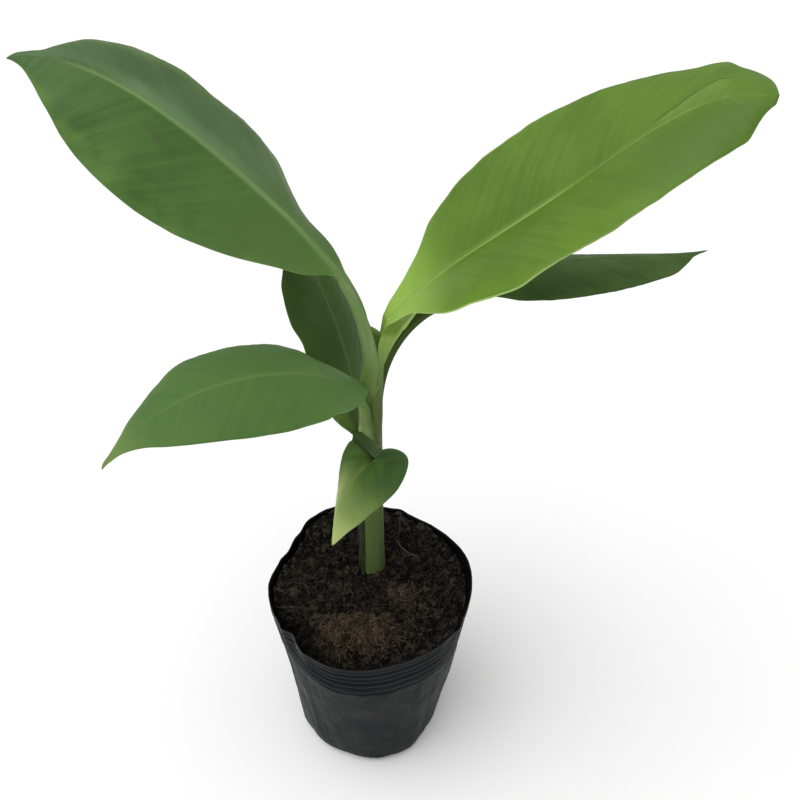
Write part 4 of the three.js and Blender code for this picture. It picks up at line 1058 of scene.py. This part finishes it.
def soil_piece(mat):
    n_r, n_a = 136, 350
    a = np.arange(n_a) / n_a * TAU
    q = (np.arange(1, n_r + 1) / n_r) ** 0.72
    qq, aa = np.meshgrid(q, a, indexing="ij")
    rad = qq * (pot_radius(aa, 110.0 + np.interp(np.degrees(aa), EDGE_AT, EDGE_UP, period=360.0)) - 2.0)
    x, y = rad * np.cos(aa), rad * np.sin(aa)
    z = soil_height(x, y)
    top = np.stack([x, y, z], -1)[::-1]          # from the wall inwards
    wall_z = np.array([85.0, 96.0])
    wz, wa = np.meshgrid(wall_z, a, indexing="ij")
    wr = pot_radius(wa, wz) - 1.5
    skirt = np.stack([wr * np.cos(wa), wr * np.sin(wa), wz], -1)
    verts = np.concatenate([skirt, top], 0)
    rows = verts.shape[0]
    faces, uv = tube_faces(rows, n_a)
    faces = [tuple(f) for f in faces]
    loops = [uv.reshape(-1, 2) * [1.0, 0.9] + [0.0, 0.1]]
    base = rows * n_a
    pts = verts.reshape(-1, 3)
    centre = np.array([[0.0, 0.0, float(soil_height(np.array(0.0), np.array(0.0)))]])
    pts = np.vstack([pts, centre])
    tri_uv = []
    for k in range(n_a):
        faces.append((base - n_a + k, base - n_a + (k + 1) % n_a, base))
        tri_uv += [(k / n_a, 0.995), ((k + 1) / n_a, 0.995), ((k + 0.5) / n_a, 1.0)]
    loops.append(np.array(tri_uv))
    faces.append(tuple(range(n_a))[::-1])
    loops.append(np.stack([0.05 + 0.04 * np.cos(a), 0.05 + 0.04 * np.sin(a)], -1)[::-1])
    fib = np.concatenate([np.zeros(skirt.shape[0] * n_a), lump_weight(top[..., 0], top[..., 1]).ravel(), [0.0]])
    deep = np.concatenate([np.ones(skirt.shape[0] * n_a), soil_deep(top[..., 0], top[..., 1]).ravel(), [0.0]])
    relief_shade_and_tone = np.concatenate([np.zeros(skirt.shape[0] * n_a), from_grid(GRID_RELIEF_SHADE, top[..., 0], top[..., 1]).ravel(), [0.0]])
    ob = add_mesh("soil_bed", pts, faces, [mat], {"fibrous": fib, "deep": deep, "relief_shade_and_tone": relief_shade_and_tone}, np.vstack(loops))
    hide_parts("soil")


def crumb_shape():
    """A small ball of 20 faces."""
    g = (1 + 5 ** 0.5) / 2
    v = [(-1, g, 0), (1, g, 0), (-1, -g, 0), (1, -g, 0), (0, -1, g), (0, 1, g), (0, -1, -g), (0, 1, -g),
         (g, 0, -1), (g, 0, 1), (-g, 0, -1), (-g, 0, 1)]
    f = [(0, 11, 5), (0, 5, 1), (0, 1, 7), (0, 7, 10), (0, 10, 11), (1, 5, 9), (5, 11, 4), (11, 10, 2), (10, 7, 6), (7, 1, 8),
         (3, 9, 4), (3, 4, 2), (3, 2, 6), (3, 6, 8), (3, 8, 9), (4, 9, 5), (2, 4, 11), (6, 2, 10), (8, 6, 7), (9, 8, 1)]
    return unit(np.array(v, float)), np.array(f)


def soil_spots(rng, count, reach=0.965, stem_gap=6.5):
    out = []
    while len(out) < count:
        x, y = rng.uniform(-66, 66, 2)
        a = math.atan2(y, x)
        if math.hypot(x, y) < float(pot_radius(np.array(a), 108.0)) * reach - 1.4 and math.hypot(x - 1.6, y - 17.0) > stem_gap:
            out.append((x, y))
    return np.array(out)


def crumbs_piece(mat):
    rng = np.random.default_rng(77)
    bv, bf = crumb_shape()
    spots = soil_spots(rng, 3000)
    z = from_grid(GRID_Z, spots[:, 0], spots[:, 1])
    weight, low = lump_weight(spots[:, 0], spots[:, 1]), soil_deep(spots[:, 0], spots[:, 1])
    verts, faces, fib, deep, relief_shade_and_tone = [], [], [], [], []
    for i, (x, y) in enumerate(spots):
        size = 0.32 + 1.5 * rng.random() ** 4
        shape = bv * (1 + 0.42 * rng.normal(size=(len(bv), 1)).clip(-1.4, 1.4)) * size * rng.uniform(0.5, 1.35, 3)
        ang = rng.uniform(0, TAU)
        c, s_ = math.cos(ang), math.sin(ang)
        rot = np.array([[c, -s_, 0], [s_, c, 0], [0, 0, 1]])
        p = shape @ rot.T + [x, y, z[i] + 0.2 * size]
        faces.append(bf + 12 * i)
        verts.append(p)
        fib.append(np.full(12, float(weight[i]) * 0.9))
        deep.append(np.full(12, float(low[i])))
        # on the crumbs the same attribute is a random tone per crumb
        relief_shade_and_tone.append(np.full(12, rng.normal() * 0.55))
    add_mesh("soil_crumbs", np.vstack(verts), np.vstack(faces), [mat],
             {"fibrous": np.concatenate(fib), "deep": np.concatenate(deep), "relief_shade_and_tone": np.concatenate(relief_shade_and_tone)}, flat=True)


def strands(name, spots, lengths, radii, lift, mat, seed, curl=0.35, k=5, seg=11, drawn=()):
    """Thin fibres lying on the mix, each a bent tube, joined in one mesh; the first ones may follow drawn lines."""
    rng = np.random.default_rng(seed)
    verts, faces, tone = [], [], []
    ring = np.arange(k) / k * TAU
    for i, (x, y) in enumerate(spots):
        ang = rng.uniform(0, TAU)
        bend = rng.normal() * curl
        step = lengths[i] / seg
        pts = []
        px, py = x, y
        for j in range(seg + 1):
            pts.append((px, py))
            ang += bend + rng.normal() * 0.22
            px, py = px + math.cos(ang) * step, py + math.sin(ang) * step
        pts = np.array(pts)
        if i < len(drawn):
            line = np.array(drawn[i], float)
            pts = np.stack([spaced(line[:, c], np.linspace(0, 1, seg + 1)) for c in (0, 1)], -1)
        rr = np.hypot(pts[:, 0], pts[:, 1])
        lim = pot_radius(np.arctan2(pts[:, 1], pts[:, 0]), 108.0) - 2.6
        pts = pts * np.minimum(1.0, lim / np.maximum(rr, 1e-6))[:, None]
        u = np.linspace(0, 1, seg + 1)
        arch = lift[i] * np.sin(u * math.pi) * rng.uniform(0.3, 1.0) + rng.normal() * 0.1 + (0.8 if i < len(drawn) else 0.0)
        z = from_grid(GRID_Z, pts[:, 0], pts[:, 1])
        z = np.convolve(np.pad(z, 1, mode="edge"), np.ones(3) / 3, mode="valid") + 0.35 + arch
        path = np.column_stack([pts, z])
        tang = unit(np.gradient(path, axis=0) + 1e-9)
        side = unit(np.cross(tang, [0.13, 0.21, 1.0]))
        up = np.cross(side, tang)
        rad = radii[i] * (1 - 0.75 * np.abs(2 * u - 1) ** 3)
        tube = path[:, None, :] + rad[:, None, None] * (np.cos(ring)[None, :, None] * side[:, None, :] + np.sin(ring)[None, :, None] * up[:, None, :])
        base = i * (seg + 1) * k
        f, _ = tube_faces(seg + 1, k, base)
        faces += [tuple(q) for q in f]
        faces.append(tuple(base + np.arange(k))[::-1])
        faces.append(tuple(base + seg * k + np.arange(k)))
        verts.append(tube.reshape(-1, 3))
        tone.append(np.full((seg + 1) * k, 0.9 if i < len(drawn) else rng.random() ** 1.8))
    add_mesh(name, np.vstack(verts), faces, [mat], {"tone": np.concatenate(tone)})


def strand_material(name, dark, light):
    n = Nodes(name)
    wear = n.noise(n.coords(), 420.0, 3.0, 0.6)
    col = n.mix(n.math("ADD", n.math("MULTIPLY", n.attr("tone"), 0.7), n.math("MULTIPLY", n.ramp(wear, 0.3, 0.7), 0.3)), dark, light)
    return n.finish(col, n.ramp(wear, 0.3, 0.7, 0.85, 0.65), n.bump(wear, 0.3, 0.0003), 0.15)


mix_mat = soil_material()
soil_piece(mix_mat)
crumbs_piece(mix_mat)
rng = np.random.default_rng(303)
spots = soil_spots(rng, 420, 0.93)
strands("soil_fibres", spots, rng.uniform(4, 17, 420), rng.uniform(0.07, 0.15, 420), rng.uniform(0, 1.4, 420),
        strand_material("coir_dark", (0.009, 0.007, 0.005), (0.095, 0.078, 0.058)), 404, 0.3)
lump_spots = []
while len(lump_spots) < 620:
    lx, ly, wx, wy, up = LUMPS[0] if rng.random() < 0.80 else LUMPS[1]
    ang, rad = rng.uniform(0, TAU), rng.random() ** 0.5
    lump_spots.append((lx + math.cos(ang) * rad * wx * 0.95, ly + math.sin(ang) * rad * wy * 0.95))
strands("coir_lumps", np.array(lump_spots), rng.uniform(4, 12, 620), rng.uniform(0.055, 0.13, 620), rng.uniform(0, 2.2, 620),
        strand_material("coir_brown", (0.011, 0.007, 0.004), (0.215, 0.160, 0.094)), 505, 0.5)
pale_spots = soil_spots(rng, 34, 0.9)
pale_thick = rng.uniform(0.07, 0.15, 34)
pale_thick[:5] = (0.36, 0.18, 0.16, 0.16, 0.50)
# the longest roots that lie bare on the mix
BARE_ROOTS = [[(14.0, 38.2), (15.9, 34.8), (18.3, 30.6), (20.7, 25.7), (24.3, 22.4), (28.4, 20.8)],
              [(-55.0, -12.4), (-50.3, -13.3), (-43.5, -14.0), (-35.5, -14.0)],
              [(-48.5, -2.8), (-43.1, 1.8), (-37.2, 0.3), (-35.0, -5.8)],
              [(15.2, 53.0), (17.7, 44.2), (15.3, 34.8)],
              [(-13.6, 11.9), (-12.9, 12.2), (-12.2, 11.8)]]
strands("pale_roots", pale_spots, rng.uniform(10, 30, 34), pale_thick, rng.uniform(0.3, 2.0, 34),
        strand_material("root_pale", (0.024, 0.022, 0.019), (0.085, 0.080, 0.070)), 606, 0.14, drawn=BARE_ROOTS)
fine_spots = soil_spots(rng, 1500, 0.94)
strands("soil_hairs", fine_spots, rng.uniform(2, 8, 1500), rng.uniform(0.045, 0.085, 1500), rng.uniform(0, 0.9, 1500),
        strand_material("coir_hair", (0.008, 0.006, 0.0045), (0.150, 0.118, 0.085)), 707, 0.5, k=3, seg=6)


# ----------------------------------------------------------------------------- stage, light, camera

def floor():
    me = bpy.data.meshes.new("floor")
    e = 6.0
    me.from_pydata([(-e, -e, -0.0004), (e, -e, -0.0004), (e, e, -0.0004), (-e, e, -0.0004)], [], [(0, 1, 2, 3)])
    n = Nodes("floor")
    co = n.coords()
    speck = n.noise(co, 3.0, 2.0, 0.5)
    me.materials.append(n.finish(n.mix(n.ramp(speck, 0.3, 0.7), (0.90, 0.90, 0.90), (0.92, 0.92, 0.92)), 0.9, None, 0.1))
    ob = bpy.data.objects.new("floor", me)
    bpy.context.scene.collection.objects.link(ob)


floor()


def sun(name, travel, strength, spread):
    """A wide, far light: even all over the stage, with soft shadows."""
    data = bpy.data.lights.new(name, "SUN")
    data.energy, data.angle = strength, spread * RAD
    ob = bpy.data.objects.new(name, data)
    bpy.context.scene.collection.objects.link(ob)
    d = np.array(travel, float)
    ob.rotation_euler = (math.acos(-d[2] / np.linalg.norm(d)), 0.0, math.atan2(d[1], d[0]) - math.pi / 2)
    ob.location = (0.0, 0.0, 2.0)


sun("key", (0.50, 0.28, -1.0), 1.9, 70.0)
world = bpy.data.worlds.new("studio")
bpy.context.scene.world = world
world.use_nodes = True
world.node_tree.nodes["Background"].inputs[0].default_value = (1.0, 1.0, 1.0, 1.0)
world.node_tree.nodes["Background"].inputs[1].default_value = 0.66

view = bpy.context.scene.view_settings
view.view_transform = "Standard"
view.look = "None"
view.exposure = 0.0
view.gamma = 1.0

cam_data = bpy.data.cameras.new("camera")
cam_data.sensor_width = 36.0
cam_data.lens = 43.2
cam_data.clip_start = 0.01
cam = bpy.data.objects.new("camera", cam_data)
bpy.context.scene.collection.objects.link(cam)
cam.location = (0.0177, -0.379, 0.531)
cam.rotation_euler = (53.0 * RAD, 0.0, 0.0)
bpy.context.scene.camera = cam
